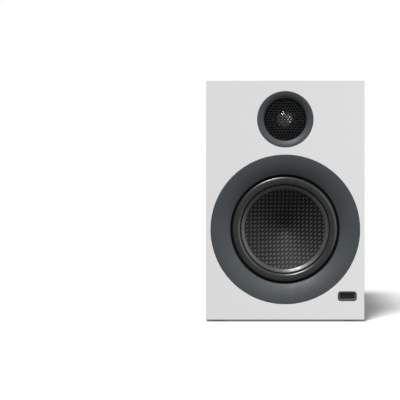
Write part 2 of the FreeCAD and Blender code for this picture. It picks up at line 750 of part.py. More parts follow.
def woofer_spider():
    """A corrugated disc from the basket's shelf to just off the coil former."""
    wall = SPIDER_THICKNESS
    seat = BASKET_SHELF_DEPTH - wall
    landing = BASKET_SHELF_RADIUS - BASKET_SHELF_WIDTH
    neck = FORMER_OUTER_RADIUS + GLUE_GAP
    first = neck + 1.5
    wave = (landing - first) / SPIDER_WAVES
    half = SPIDER_WAVE_HEIGHT / 2

    def crest(index, back):
        side = -half if index % 2 == 0 else half
        return (first + wave * (index + 0.5), seat + side + back)

    outline = [(neck, seat), (first, seat)]
    for index in range(SPIDER_WAVES):
        outline.append(("arc", crest(index, 0.0), (first + wave * (index + 1), seat)))
    outline += [(BASKET_SHELF_RADIUS - 0.5, seat), (BASKET_SHELF_RADIUS - 0.5, seat + wall)]
    outline.append((landing, seat + wall))
    for index in reversed(range(SPIDER_WAVES)):
        outline.append(("arc", crest(index, wall), (first + wave * index, seat + wall)))
    outline.append((neck, seat + wall))
    return turned(outline, 0, WOOFER_Z, FRONT)


def woofer_top_plate():
    y_range = (FRONT + BASKET_BACK_DEPTH, FRONT + MAGNET_DEPTH)
    return tube(0, WOOFER_Z, WOOFER_PLATE_RADIUS, WINDING_RADIUS + GAP_CLEARANCE, y_range)


def woofer_magnet():
    y_range = (FRONT + MAGNET_DEPTH, FRONT + YOKE_DEPTH)
    return tube(0, WOOFER_Z, WOOFER_MAGNET_RADIUS, WOOFER_MAGNET_BORE, y_range)


def woofer_yoke():
    """The back plate and vented pole, in one piece."""
    pole = COIL_INNER_RADIUS - GAP_CLEARANCE
    back = YOKE_DEPTH + WOOFER_BACK_PLATE
    vent = WOOFER_VENT_RADIUS
    outline = [
        (vent, BASKET_BACK_DEPTH - 0.5),
        (pole, BASKET_BACK_DEPTH - 0.5),
        (pole, YOKE_DEPTH),
        (WOOFER_PLATE_RADIUS, YOKE_DEPTH),
        (WOOFER_PLATE_RADIUS, back - 1.5),
        (WOOFER_PLATE_RADIUS - 1.5, back),
        (vent + 2.0, back),
        (vent, back - 2.0),
    ]
    return turned(outline, 0, WOOFER_Z, FRONT)


def pan_screw(x, z, seat_y, facing, head, shank, length, head_height):
    """A pan-head screw along Y. It goes in along facing, which is 1 or -1."""
    top = seat_y - facing * head_height
    tip = seat_y + facing * length
    cap = rod(x, z, head, sorted((top, seat_y)))
    rim = [e for e in cap.Edges if near(e.BoundBox.YMin, top) and near(e.BoundBox.YMax, top)]
    cap = cap.makeFillet(head_height * 0.45, rim)
    body = rod(x, z, shank, sorted((seat_y, tip)))
    slot_depth = sorted((top, top + facing * head_height * 0.55))
    across = centred_block(x, z, head, head * 0.26, slot_depth)
    upright = centred_block(x, z, head * 0.26, head, slot_depth)
    return cap.fuse(body).cut([across, upright])


def woofer_screws():
    seat = FRONT + BASKET_FLANGE_DEPTH
    return Part.makeCompound(
        [
            pan_screw(
                x,
                z,
                seat,
                1,
                WOOFER_SCREW_HEAD,
                WOOFER_SCREW_RADIUS,
                WOOFER_SCREW_LENGTH,
                WOOFER_SCREW_HEAD_HEIGHT,
            )
            for x, z in woofer_screw_places()
        ]
    )


# --- Tweeter -------------------------------------------------------------------------------
def tweeter_ring_face(radius):
    return ring_face_depth(radius, TWEETER_RING_RADIUS, TWEETER_RING_OPENING, TWEETER_RING_DISH)


def tweeter_screw_places():
    places = [polar(TWEETER_SCREW_CIRCLE, a) for a in around(TWEETER_SCREWS, 90)]
    return [(x, TWEETER_Z + z) for x, z in places]


def tweeter_trim_ring():
    """The dished ring that holds the grille against the chassis."""
    outer, opening = TWEETER_RING_RADIUS, TWEETER_RING_OPENING
    start = outer - RING_EDGE
    middle = (outer + opening) / 2
    outline = [
        (outer, RING_EDGE),
        (start, tweeter_ring_face(start)),
        ("arc", (middle, tweeter_ring_face(middle)), (opening, TWEETER_RING_DISH)),
        (opening, GRILLE_DEPTH),
        (GRILLE_RADIUS + SEAT_CLEARANCE, GRILLE_DEPTH),
        (GRILLE_RADIUS + SEAT_CLEARANCE, CHASSIS_DEPTH),
        (outer, CHASSIS_DEPTH),
    ]
    return turned(outline, 0, TWEETER_Z, FRONT)


def tweeter_grille():
    """A perforated steel disc with hexagonal holes."""
    y_range = (FRONT + GRILLE_DEPTH, FRONT + CHASSIS_DEPTH)
    disc = rod(0, TWEETER_Z, GRILLE_RADIUS, y_range)
    flats = GRILLE_PITCH - GRILLE_WIRE
    holes = [
        hexagon(x, TWEETER_Z + z, flats, y_range)
        for x, z in hex_grid(GRILLE_RADIUS, GRILLE_PITCH, flats * 0.9)
    ]
    return disc.cut(holes)


def tweeter_chassis():
    """The flange, the conical throat in front of the dome and the skirt round the motor."""
    skirt = CHASSIS_SKIRT_RADIUS
    inner_skirt = skirt - CHASSIS_WALL
    outline = [
        (GRILLE_RADIUS - GRILLE_OVERLAP, CHASSIS_DEPTH),
        (CHASSIS_FLANGE_RADIUS, CHASSIS_DEPTH),
        (CHASSIS_FLANGE_RADIUS, CHASSIS_SEAT),
        (skirt, CHASSIS_SEAT),
        (skirt, TWEETER_MAGNET_DEPTH),
        (inner_skirt, TWEETER_MAGNET_DEPTH),
        (inner_skirt, DOME_BASE_DEPTH),
        (THROAT_RADIUS, DOME_BASE_DEPTH),
        (THROAT_RADIUS, THROAT_END_DEPTH),
    ]
    solid = turned(outline, 0, TWEETER_Z, FRONT)
    recesses = []
    for x, z in tweeter_screw_places():
        head = TWEETER_SCREW_HEAD + SCREW_CLEARANCE
        depth = CHASSIS_DEPTH + TWEETER_SCREW_HEAD_HEIGHT + 0.1
        recesses.append(rod(x, z, head, (FRONT + CHASSIS_DEPTH, FRONT + depth)))
        shank = TWEETER_SCREW_RADIUS + SCREW_CLEARANCE
        recesses.append(rod(x, z, shank, (FRONT + CHASSIS_DEPTH, FRONT + CHASSIS_SEAT)))
    return cut_all(solid, recesses)


def tweeter_dome():
    """A shallow spherical cap, with a short cylinder at its edge that the coil is glued in."""
    radius, height = DOME_RADIUS, DOME_HEIGHT
    curve = (radius * radius + height * height) / (2 * height)
    inner_curve = curve - DOME_WALL
    centre = DOME_BASE_DEPTH - height + curve
    inner_radius = math.sqrt(inner_curve**2 - (curve - height) ** 2)

    def on(sphere, distance):
        return (distance, centre - math.sqrt(sphere**2 - distance**2))

    outline = [
        on(curve, 0.0),
        ("arc", on(curve, radius / 2), (radius, DOME_BASE_DEPTH)),
        (inner_radius, DOME_BASE_DEPTH),
        ("arc", on(inner_curve, radius / 2), on(inner_curve, 0.0)),
    ]
    return turned(outline, 0, TWEETER_Z, FRONT)


def tweeter_dome_surround():
    """The soft half roll round the dome, clamped between the chassis and the top plate."""
    inner = DOME_RADIUS + GLUE_GAP
    outer = inner + DOME_ROLL_WIDTH
    middle = (inner + outer) / 2
    base, wall, rise = DOME_BASE_DEPTH, DOME_WALL, DOME_ROLL_HEIGHT
    clamp = TWEETER_PLATE_RADIUS - 2.0
    outline = [
        (inner, base),
        ("arc", (middle, base - rise), (outer, base)),
        (clamp, base),
        (clamp, base + wall),
        (outer - wall, base + wall),
        ("arc", (middle, base - rise + wall), (inner + wall, base + wall)),
        (inner, base + wall),
    ]
    return turned(outline, 0, TWEETER_Z, FRONT)


def tweeter_voice_coil():
    start = FRONT + DOME_BASE_DEPTH
    y_range = (start, start + TWEETER_COIL_LENGTH)
    outer = TWEETER_COIL_RADIUS + TWEETER_COIL_WALL
    return tube(0, TWEETER_Z, outer, TWEETER_COIL_RADIUS, y_range)


def tweeter_top_plate():
    hole = TWEETER_COIL_RADIUS + TWEETER_COIL_WALL + TWEETER_GAP_CLEARANCE
    y_range = (FRONT + TWEETER_PLATE_DEPTH, FRONT + TWEETER_MAGNET_DEPTH)
    return tube(0, TWEETER_Z, TWEETER_PLATE_RADIUS, hole, y_range)


def tweeter_magnet():
    y_range = (FRONT + TWEETER_MAGNET_DEPTH, FRONT + TWEETER_YOKE_DEPTH)
    return tube(0, TWEETER_Z, TWEETER_PLATE_RADIUS, TWEETER_MAGNET_BORE, y_range)


def tweeter_yoke():
    pole = TWEETER_COIL_RADIUS - TWEETER_GAP_CLEARANCE
    top = DOME_BASE_DEPTH + 0.8
    back = TWEETER_YOKE_DEPTH + TWEETER_BACK_PLATE
    vent = TWEETER_VENT_RADIUS
    outline = [
        (vent, top),
        (pole, top),
        (pole, TWEETER_YOKE_DEPTH),
        (TWEETER_PLATE_RADIUS, TWEETER_YOKE_DEPTH),
        (TWEETER_PLATE_RADIUS, back),
        (vent, back),
    ]
    return turned(outline, 0, TWEETER_Z, FRONT)


def tweeter_screws():
    seat = FRONT + CHASSIS_DEPTH + TWEETER_SCREW_HEAD_HEIGHT + 0.1
    length = TWEETER_SCREW_LENGTH - TWEETER_SCREW_HEAD_HEIGHT - 0.1
    return Part.makeCompound(
        [
            pan_screw(
                x,
                z,
                seat,
                1,
                TWEETER_SCREW_HEAD,
                TWEETER_SCREW_RADIUS,
                length,
                TWEETER_SCREW_HEAD_HEIGHT,
            )
            for x, z in tweeter_screw_places()
        ]
    )


def terminal_block(z, y, side_y):
    """A tag board with two blades, standing off a driver's back at height z."""
    board = block(
        (-TERMINAL_WIDTH / 2, TERMINAL_WIDTH / 2),
        (y, y + TERMINAL_THICKNESS),
        (z - TERMINAL_HEIGHT / 2, z + TERMINAL_HEIGHT / 2),
    )
    blades = []
    for x in (-TERMINAL_WIDTH / 4, TERMINAL_WIDTH / 4):
        blades.append(
            block(
                (x - BLADE_WIDTH / 2, x + BLADE_WIDTH / 2),
                (y + TERMINAL_THICKNESS, y + TERMINAL_THICKNESS + side_y),
                (z - BLADE_THICKNESS / 2, z + BLADE_THICKNESS / 2),
            )
        )
    return board.fuse(blades)


def driver_terminals():
    woofer = terminal_block(
        WOOFER_Z + WOOFER_TERMINAL_RISE, FRONT + YOKE_DEPTH + WOOFER_BACK_PLATE, BLADE_LENGTH
    )
    tweeter = terminal_block(
        TWEETER_Z + TWEETER_TERMINAL_RISE,
        FRONT + TWEETER_YOKE_DEPTH + TWEETER_BACK_PLATE,
        BLADE_LENGTH,
    )
    return Part.makeCompound([woofer, tweeter])


# --- Status window -------------------------------------------------------------------------
def loft_between(near_size, near_corner, near_y, far_size, far_corner, far_y):
    """A tapered solid between two rounded rectangles centred on the status window."""

    def outline(size, corner, y):
        thin = rounded_block(WINDOW_X, WINDOW_Z, size[0], size[1], corner, (y, y + 1.0))
        face = min(thin.Faces, key=lambda f: f.CenterOfMass.y)
        return face.OuterWire

    wires = [outline(near_size, near_corner, near_y), outline(far_size, far_corner, far_y)]
    return Part.makeLoft(wires, True, True)


def window_glass_size():
    inset = 2 * (WINDOW_RIM + WINDOW_SLOPE)
    return WINDOW_WIDTH - inset, WINDOW_HEIGHT - inset


def status_window_bezel():
    """A rounded housing whose rim slopes in to the lens."""
    housing = rounded_block(
        WINDOW_X,
        WINDOW_Z,
        WINDOW_WIDTH,
        WINDOW_HEIGHT,
        WINDOW_CORNER,
        (FRONT, FRONT + WINDOW_HOUSING_DEPTH),
    )
    rim = (WINDOW_WIDTH - 2 * WINDOW_RIM, WINDOW_HEIGHT - 2 * WINDOW_RIM)
    glass = window_glass_size()
    slope = loft_between(
        rim,
        WINDOW_CORNER - WINDOW_RIM,
        FRONT,
        glass,
        WINDOW_CORNER - WINDOW_RIM - WINDOW_SLOPE / 2,
        FRONT + WINDOW_LENS_DEPTH,
    )
    inside = rounded_block(
        WINDOW_X,
        WINDOW_Z,
        glass[0] + 2 * SCREW_CLEARANCE,
        glass[1] + 2 * SCREW_CLEARANCE,
        WINDOW_CORNER - WINDOW_RIM - WINDOW_SLOPE / 2,
        (FRONT + WINDOW_LENS_DEPTH, FRONT + WINDOW_HOUSING_DEPTH),
    )
    return housing.cut([slope, inside])


def status_window_lens():
    glass = window_glass_size()
    start = FRONT + WINDOW_LENS_DEPTH
    return rounded_block(
        WINDOW_X,
        WINDOW_Z,
        glass[0],
        glass[1],
        WINDOW_CORNER - WINDOW_RIM - WINDOW_SLOPE / 2 - SCREW_CLEARANCE,
        (start, start + WINDOW_LENS_THICKNESS),
    )


def status_light_board():
    """A small board with an infrared receiver and a light behind the lens."""
    y = FRONT + WINDOW_HOUSING_DEPTH
    board = centred_block(
        WINDOW_X,
        WINDOW_Z,
        WINDOW_WIDTH - 2.0,
        WINDOW_HEIGHT - 2.0,
        (y, y + LIGHT_BOARD_THICKNESS),
    )
    receiver = centred_block(WINDOW_X - 3.5, WINDOW_Z, 4.0, 3.4, (y - 3.0, y))
    light = rod(WINDOW_X + 3.5, WINDOW_Z, 1.5, (y - 4.0, y))
    return board.fuse([receiver, light])


# --- Reflex port ---------------------------------------------------------------------------
def reflex_port():
    """A flared tube through the rear panel, with a thin flange outside it."""
    outer_tube = PORT_RADIUS + PORT_WALL
    body = PORT_RADIUS + PORT_FLARE
    flange = body + PORT_FLANGE_WIDTH
    reach = PORT_FLANGE_THICKNESS
    mouth = reach - PORT_FLARE
    quarter = PORT_FLARE * (1 - math.sqrt(0.5))
    outline = [
        (PORT_RADIUS, mouth),
        ("arc", (PORT_RADIUS + quarter, reach - quarter), (body, reach)),
        (flange - 0.6, reach),
        (flange, reach - 0.6),
        (flange, 0.0),
        (body, 0.0),
        (body, -PANEL_THICKNESS + PORT_WALL),
        (outer_tube, -PANEL_THICKNESS),
        (outer_tube, -PORT_LENGTH),
        (PORT_RADIUS, -PORT_LENGTH),
    ]
    return turned(outline, 0, PORT_Z, REAR)


# --- Amplifier plate and what is mounted on it --------------------------------------------
def plate_screw_places():
    x = PLATE_WIDTH / 2 - PLATE_LEDGE / 2
    z = PLATE_HEIGHT / 2 - PLATE_LEDGE / 2
    offsets = [(-x, -z), (x, -z), (-x, z), (x, z), (-x, 0), (x, 0), (0, z), (0, -z)]
    return [(dx, PLATE_Z + dz) for dx, dz in offsets]


def plate_holes():
    """Cutters for everything that passes through the amplifier plate."""
    y_range = (PLATE_BACK, REAR)
    cutters = [
        rod(x, z, PLATE_SCREW_RADIUS + SCREW_CLEARANCE, y_range) for x, z in plate_screw_places()
    ]
    cutters.append(rod(KNOB_X, PLATE_Z + KNOB_RISE, BUSH_RADIUS + SCREW_CLEARANCE, y_range))
    cutters.append(rod(BUTTON_X, PLATE_Z + KNOB_RISE, BUTTON_RADIUS + GLUE_GAP, y_range))
    for x in LINE_JACK_X:
        hole = LINE_SHELL_RADIUS + SCREW_CLEARANCE
        cutters.append(rod(x, PLATE_Z + LINE_JACK_RISE, hole, y_range))
    cutters.append(rod(AUX_X, PLATE_Z + LINE_JACK_RISE, AUX_BUSH_RADIUS + SCREW_CLEARANCE, y_range))
    for x in POST_X:
        cutters.append(rod(x, PLATE_Z + POST_RISE, COLLAR_NECK + SCREW_CLEARANCE, y_range))
    switch_width, switch_height = switch_body_size()
    cutters.append(
        centred_block(
            ROCKER_X,
            ROCKER_Z,
            switch_width + 2 * SCREW_CLEARANCE,
            switch_height + 2 * SCREW_CLEARANCE,
            y_range,
        )
    )
    inlet_width, inlet_height = inlet_body_size()
    cutters.append(
        centred_block(
            INLET_X,
            PLATE_Z + INLET_RISE,
            inlet_width + 2 * SCREW_CLEARANCE,
            inlet_height + 2 * SCREW_CLEARANCE,
            y_range,
        )
    )
    return cutters


def amplifier_plate():
    y_range = (PLATE_BACK, REAR)
    solid = rounded_block(0, PLATE_Z, PLATE_WIDTH, PLATE_HEIGHT, PLATE_CORNER, y_range)
    return cut_all(solid, plate_holes())


def amplifier_plate_screws():
    length = PLATE_SCREW_LENGTH + PLATE_THICKNESS
    return Part.makeCompound(
        [
            pan_screw(
                x,
                z,
                REAR,
                -1,
                PLATE_SCREW_HEAD,
                PLATE_SCREW_RADIUS,
                length,
                PLATE_SCREW_HEAD_HEIGHT,
            )
            for x, z in plate_screw_places()
        ]
    )


def volume_knob():
    """A fluted cap, hollow over the control's nut, with a pointer groove."""
    z = PLATE_Z + KNOB_RISE
    start = REAR + KNOB_STANDOFF
    end = start + KNOB_HEIGHT
    solid = rod(KNOB_X, z, KNOB_RADIUS, (start, end))
    rim = [e for e in solid.Edges if near(e.BoundBox.YMin, end) and near(e.BoundBox.YMax, end)]
    solid = solid.makeFillet(1.2, rim)
    hub = SHAFT_RADIUS + 2.5
    hollow = rod(KNOB_X, z, KNOB_RADIUS - KNOB_SHELL, (start, end - KNOB_SHELL))
    core = rod(KNOB_X, z, hub, (REAR + BUSH_REACH + GLUE_GAP, end - KNOB_SHELL))
    bore = rod(KNOB_X, z, SHAFT_RADIUS + 0.02, (start, REAR + SHAFT_REACH + GLUE_GAP))
    flutes = []
    for angle in around(KNOB_FLUTES):
        dx, dz = polar(KNOB_RADIUS + KNOB_FLUTE_RADIUS * 0.3, angle)
        flutes.append(rod(KNOB_X + dx, z + dz, KNOB_FLUTE_RADIUS, (start, end - KNOB_SHELL)))
    pointer = centred_block(KNOB_X, z + KNOB_RADIUS * 0.65, 1.2, KNOB_RADIUS * 0.5, (end - 0.6, end))
    return solid.cut(hollow.cut(core)).cut([bore, pointer] + flutes)


def volume_shaft():
    z = PLATE_Z + KNOB_RISE
    return rod(KNOB_X, z, SHAFT_RADIUS, (PLATE_BACK - SHAFT_TAIL, REAR + SHAFT_REACH))


def volume_control():
    """The potentiometer's body and threaded bush, and the nut that clamps it to the plate."""
    z = PLATE_Z + KNOB_RISE
    case = rounded_block(
        KNOB_X, z, CONTROL_SIZE, CONTROL_SIZE, 2.0, (PLATE_BACK - CONTROL_DEPTH, PLATE_BACK)
    )
    bush = rod(KNOB_X, z, BUSH_RADIUS, (PLATE_BACK, REAR + BUSH_REACH))
    bore = rod(
        KNOB_X,
        z,
        SHAFT_RADIUS + RUNNING_CLEARANCE,
        (PLATE_BACK - SHAFT_TAIL - GLUE_GAP, REAR + BUSH_REACH),
    )
    nut = hexagon(KNOB_X, z, NUT_ACROSS_FLATS, (REAR, REAR + NUT_THICKNESS))
    nut = nut.cut(rod(KNOB_X, z, BUSH_RADIUS, (REAR, REAR + NUT_THICKNESS)))
    return Part.makeCompound([case.fuse(bush).cut(bore), nut])


def source_button():
    z = PLATE_Z + KNOB_RISE
    top = REAR + BUTTON_REACH
    cap = rod(BUTTON_X, z, BUTTON_RADIUS, (top - BUTTON_LENGTH, top))
    rim = [e for e in cap.Edges if near(e.BoundBox.YMin, top) and near(e.BoundBox.YMax, top)]
    cap = cap.makeFillet(0.6, rim)
    flange_y = PLATE_BACK - STACK_GAP
    flange = rod(BUTTON_X, z, BUTTON_RADIUS + BUTTON_FLANGE, (flange_y - BUTTON_FLANGE, flange_y))
    return cap.fuse(flange)


def source_switch():
    """A tact switch behind the button, on a small board that stands off the plate."""
    z = PLATE_Z + KNOB_RISE
    face = REAR + BUTTON_REACH - BUTTON_LENGTH - BUTTON_TRAVEL - STACK_GAP
    size = BUTTON_SWITCH_SIZE
    case = centred_block(BUTTON_X, z, size, size, (face - BUTTON_SWITCH_DEPTH, face))
    base = face - BUTTON_SWITCH_DEPTH
    post_offset = BUTTON_RADIUS + BUTTON_FLANGE + SWITCH_POST_RADIUS + SWITCH_POST_CLEARANCE
    width = 2 * (post_offset + SWITCH_POST_RADIUS + SWITCH_POST_MARGIN)
    board = centred_block(BUTTON_X, z, width, size * 2, (base - BOARD_THICKNESS, base))
    posts = [
        rod(BUTTON_X + side * post_offset, z, SWITCH_POST_RADIUS, (base, PLATE_BACK))
        for side in (-1, 1)
    ]
    return case.fuse([board] + posts)


def switch_cavity_size():
    return ROCKER_WIDTH + 0.5, 2 * ROCKER_HALF_LENGTH + 1.6


def switch_body_size():
    width, height = switch_cavity_size()
    return width + 2 * SWITCH_WALL, height + 2 * SWITCH_WALL


def power_switch_body():
    """The switch's case, with a rim on the plate and bearings for the rocker's pins."""
    width, height = switch_body_size()
    cavity_width, cavity_height = switch_cavity_size()
    front = REAR + SWITCH_RIM_THICKNESS
    case = centred_block(ROCKER_X, ROCKER_Z, width, height, (REAR - SWITCH_BODY_DEPTH, REAR))
    rim = rounded_block(
        ROCKER_X,
        ROCKER_Z,
        width + 2 * SWITCH_RIM,
        height + 2 * SWITCH_RIM,
        1.0,
        (REAR, front),
    )
    floor = ROCKER_Y - ROCKER_KEEL - 1.5
    cavity = centred_block(ROCKER_X, ROCKER_Z, cavity_width, cavity_height, (floor, front))
    pin = ROCKER_PIN_RADIUS + RUNNING_CLEARANCE
    reach = ROCKER_WIDTH / 2 + ROCKER_PIN_LENGTH + SEAT_CLEARANCE
    bearing = Part.makeCylinder(
        pin, 2 * reach, Vector(ROCKER_X - reach, ROCKER_Y, ROCKER_Z), Vector(1, 0, 0)
    )
    return case.fuse(rim).cut([cavity, bearing])


def power_rocker():
    """A rocker with two sloping faces, resting in its off position."""
    length = ROCKER_HALF_LENGTH
    outline = [
        (-length, ROCKER_TIP),
        (0.0, ROCKER_MIDDLE),
        (length, ROCKER_TIP),
        (length, -1.0),
        (length * 0.4, -ROCKER_KEEL),
        (-length * 0.4, -ROCKER_KEEL),
        (-length, -1.0),
    ]
    x = ROCKER_X - ROCKER_WIDTH / 2
    points = [Vector(x, ROCKER_Y + out, ROCKER_Z + rise) for rise, out in outline]
    face = Part.Face(Part.makePolygon(points + [points[0]]))
    paddle = face.extrude(Vector(ROCKER_WIDTH, 0, 0))
    pin_x = ROCKER_X - ROCKER_WIDTH / 2 - ROCKER_PIN_LENGTH
    pin_length = ROCKER_WIDTH + 2 * ROCKER_PIN_LENGTH
    pin = Part.makeCylinder(
        ROCKER_PIN_RADIUS, pin_length, Vector(pin_x, ROCKER_Y, ROCKER_Z), Vector(1, 0, 0)
    )
    rocker = paddle.fuse(pin)
    rocker.rotate(Vector(ROCKER_X, ROCKER_Y, ROCKER_Z), Vector(1, 0, 0), -ROCKER_TILT)
    return rocker


# --- Sockets -------------------------------------------------------------------------------
def inlet_body_size():
    width = INLET_SOCKET_PITCH + 2 * INLET_SOCKET_RADIUS + 2 * INLET_WALL
    return width, 2 * INLET_SOCKET_RADIUS + 2 * INLET_WALL


def mains_inlet():
    """A figure-of-eight socket with a flange outside the plate."""
    z = PLATE_Z + INLET_RISE
    front = REAR + INLET_FLANGE_THICKNESS
    width, height = inlet_body_size()
    depth = INLET_SOCKET_DEPTH + INLET_WALL
    case = centred_block(INLET_X, z, width, height, (front - depth, front))
    flange = rounded_block(
        INLET_X, z, INLET_FLANGE_WIDTH, INLET_FLANGE_HEIGHT, 3.0, (REAR, front)
    )
    y_range = (front - INLET_SOCKET_DEPTH, front)
    half = INLET_SOCKET_PITCH / 2
    lobes = [rod(INLET_X + dx, z, INLET_SOCKET_RADIUS, y_range) for dx in (-half, half)]
    waist = centred_block(INLET_X, z, INLET_SOCKET_PITCH, 1.6 * INLET_SOCKET_RADIUS, y_range)
    return case.fuse(flange).cut(lobes + [waist])


def mains_inlet_pins():
    z = PLATE_Z + INLET_RISE
    floor = REAR + INLET_FLANGE_THICKNESS - INLET_SOCKET_DEPTH
    pins = []
    for dx in (-INLET_PIN_PITCH / 2, INLET_PIN_PITCH / 2):
        pins.append(rod(INLET_X + dx, z, INLET_PIN_RADIUS, (floor, floor + INLET_PIN_LENGTH)))
    return Part.makeCompound(pins)


def line_jack_shells():
    """The outer contacts of the two line inputs, each with its collar on the plate."""
    z = PLATE_Z + LINE_JACK_RISE
    shells = []
    for x in LINE_JACK_X:
        inner = LINE_SHELL_RADIUS - LINE_SHELL_WALL
        shell = tube(x, z, LINE_SHELL_RADIUS, inner, (PLATE_BACK, REAR + LINE_SHELL_REACH))
        collar = tube(x, z, LINE_COLLAR_RADIUS, inner, (REAR, REAR + LINE_COLLAR_THICKNESS))
        shells.append(shell.fuse(collar))
    return Part.makeCompound(shells)


def line_jack_insulators():
    """The plastic cores of the line inputs, each with the socket for the plug's pin."""
    z = PLATE_Z + LINE_JACK_RISE
    cores = []
    front = REAR + LINE_SHELL_REACH - 1.0
    for x in LINE_JACK_X:
        core = rod(x, z, LINE_SHELL_RADIUS - LINE_SHELL_WALL, (PLATE_BACK, front))
        case = centred_block(x, z, 10.0, 10.0, (PLATE_BACK - JACK_BODY_DEPTH, PLATE_BACK))
        socket = rod(x, z, LINE_CONTACT_RADIUS, (front - LINE_CONTACT_DEPTH, front))
        cores.append(core.fuse(case).cut(socket))
    return Part.makeCompound(cores)


def aux_jack():
    """A 3.5 mm socket: its case, its bush and the ring nut outside the plate."""
    z = PLATE_Z + LINE_JACK_RISE
    front = REAR + AUX_BUSH_REACH
    bush = rod(AUX_X, z, AUX_BUSH_RADIUS, (PLATE_BACK, front))
    case = centred_block(AUX_X, z, 9.0, 9.0, (PLATE_BACK - AUX_DEPTH, PLATE_BACK))
    nut = rod(AUX_X, z, AUX_NUT_RADIUS, (REAR, REAR + AUX_BUSH_REACH * 0.7))
    bore = rod(AUX_X, z, AUX_RADIUS, (front - AUX_DEPTH, front))
    return case.fuse([bush, nut]).cut(bore)


def post_collars():
    """The insulating collars of the two binding posts."""
    z = PLATE_Z + POST_RISE
    collars = []
    for x in POST_X:
        collar = hexagon(x, z, 2 * COLLAR_RADIUS, (REAR, REAR + COLLAR_REACH))
        neck = rod(x, z, COLLAR_NECK, (PLATE_BACK, REAR))
        backing = rod(x, z, COLLAR_RADIUS, (PLATE_BACK - 3.0, PLATE_BACK))
        bore = rod(x, z, POST_RADIUS, (PLATE_BACK - 3.0, REAR + COLLAR_REACH))
        collars.append(collar.fuse([neck, backing]).cut(bore))
    return Part.makeCompound(collars)


def binding_posts():
    """The metal posts: each has a banana socket in its end and a hole across for bare wire."""
    z = PLATE_Z + POST_RISE
    posts = []
    for x in POST_X:
        post = rod(x, z, POST_RADIUS, (PLATE_BACK - POST_TAIL, REAR + POST_REACH))
        socket = rod(x, z, BANANA_RADIUS, (REAR + POST_REACH - BANANA_DEPTH, REAR + POST_REACH))
        eye = Part.makeCylinder(
            1.1,
            4 * POST_RADIUS,
            Vector(x, REAR + CAP_FOOT + 1.5, z - 2 * POST_RADIUS),
            Vector(0, 0, 1),
        )
        posts.append(post.cut([socket, eye]))
    return Part.makeCompound(posts)


def post_washer(x):
    z = PLATE_Z + POST_RISE
    start = REAR + COLLAR_FACE
    y_range = (start, start + WASHER_THICKNESS)
    return tube(x, z, WASHER_RADIUS, POST_RADIUS + RUNNING_CLEARANCE, y_range)


def post_cap(x):
    """A fluted cap on the post, open at its end for a banana plug."""
    z = PLATE_Z + POST_RISE
    start = REAR + CAP_FOOT
    end = start + CAP_HEIGHT
    body = rod(x, z, CAP_RADIUS, (start, end))
    rim = [e for e in body.Edges if near(e.BoundBox.YMin, end) and near(e.BoundBox.YMax, end)]
    body = body.makeFillet(0.8, rim)
    bore = rod(x, z, POST_RADIUS + RUNNING_CLEARANCE, (start, end - CAP_END_WALL))
    mouth = rod(x, z, BANANA_RADIUS + 0.4, (start, end))
    flutes = []
    for angle in around(CAP_FLUTES):
        dx, dz = polar(CAP_RADIUS + CAP_FLUTE_RADIUS * 0.35, angle)
        flutes.append(rod(x + dx, z + dz, CAP_FLUTE_RADIUS, (start + 1.5, end - 1.5)))
    return body.cut([bore, mouth] + flutes)


# --- Electronics ---------------------------------------------------------------------------
def amplifier_board():
    y_range = (BOARD_FRONT - BOARD_THICKNESS, BOARD_FRONT)
    return centred_block(0, PLATE_Z, BOARD_WIDTH, BOARD_HEIGHT, y_range)


def heat_sink():
    """A bracket from the plate to the board, finned on its upper side."""
    z = PLATE_Z + HEAT_SINK_RISE
    half = HEAT_SINK_WIDTH / 2
    foot = block((-half, half), (PLATE_BACK - HEAT_SINK_WALL, PLATE_BACK), (z, z + HEAT_SINK_HEIGHT / 2))
    web = block((-half, half), (BOARD_FRONT, PLATE_BACK), (z, z + HEAT_SINK_WALL))
    fins = []
    last = half - HEAT_SINK_FIN_THICKNESS
    for index in range(HEAT_SINK_FINS):
        x = -half + (half + last) * index / (HEAT_SINK_FINS - 1)
        fins.append(
            block(
                (x, x + HEAT_SINK_FIN_THICKNESS),
                (BOARD_FRONT + 2.0, PLATE_BACK - JACK_BODY_DEPTH - AUX_DEPTH / 2),
                (z + HEAT_SINK_WALL, z + HEAT_SINK_WALL + HEAT_SINK_FIN_LENGTH),
            )
        )
    return web.fuse([foot] + fins)


def power_transformer():
    """A laminated core and its winding, on the front of the board."""
    width, depth, height = TRANSFORMER_SIZE
    z = PLATE_Z + TRANSFORMER_RISE
    back = BOARD_FRONT - BOARD_THICKNESS
    core = centred_block(0, z, width, height, (back - depth, back))
    lip = TRANSFORMER_CORE_LIP
    winding = centred_block(
        0, z, width - 4 * lip, height + 2 * lip, (back - depth + 2 * lip, back - 2 * lip)
    )
    return core.fuse(winding)


def board_capacitors():
    z = PLATE_Z + CAPACITOR_RISE
    back = BOARD_FRONT - BOARD_THICKNESS
    cans = []
    for x in CAPACITOR_XS:
        can = rod(x, z, CAPACITOR_RADIUS, (back - CAPACITOR_HEIGHT, back))
        top = back - CAPACITOR_HEIGHT
        rim = [e for e in can.Edges if near(e.BoundBox.YMin, top) and near(e.BoundBox.YMax, top)]
        cans.append(can.makeFillet(1.0, rim))
    return Part.makeCompound(cans)


def rounded_path(points):
    """A wire of straight runs joined by tangent arcs."""
    edges = []
    here = points[0]
    for before, corner, after in zip(points, points[1:], points[2:]):
        back, ahead = before - corner, after - corner
        turn = math.pi - back.getAngle(ahead)
        shorter = min(back.Length, ahead.Length)
        radius = 0.45 * shorter / math.tan(turn / 2)
        trim = 0.45 * shorter
        back.normalize()
        ahead.normalize()
        start, end = corner + back * trim, corner + ahead * trim
        inward = back + ahead
        inward.normalize()
        centre = corner + inward * (radius / math.cos(turn / 2))
        middle = centre - inward * radius
        edges.append(Part.LineSegment(here, start).toShape())
        edges.append(Part.Arc(start, middle, end).toShape())
        here = end
    edges.append(Part.LineSegment(here, points[-1]).toShape())
    return Part.Wire(edges)


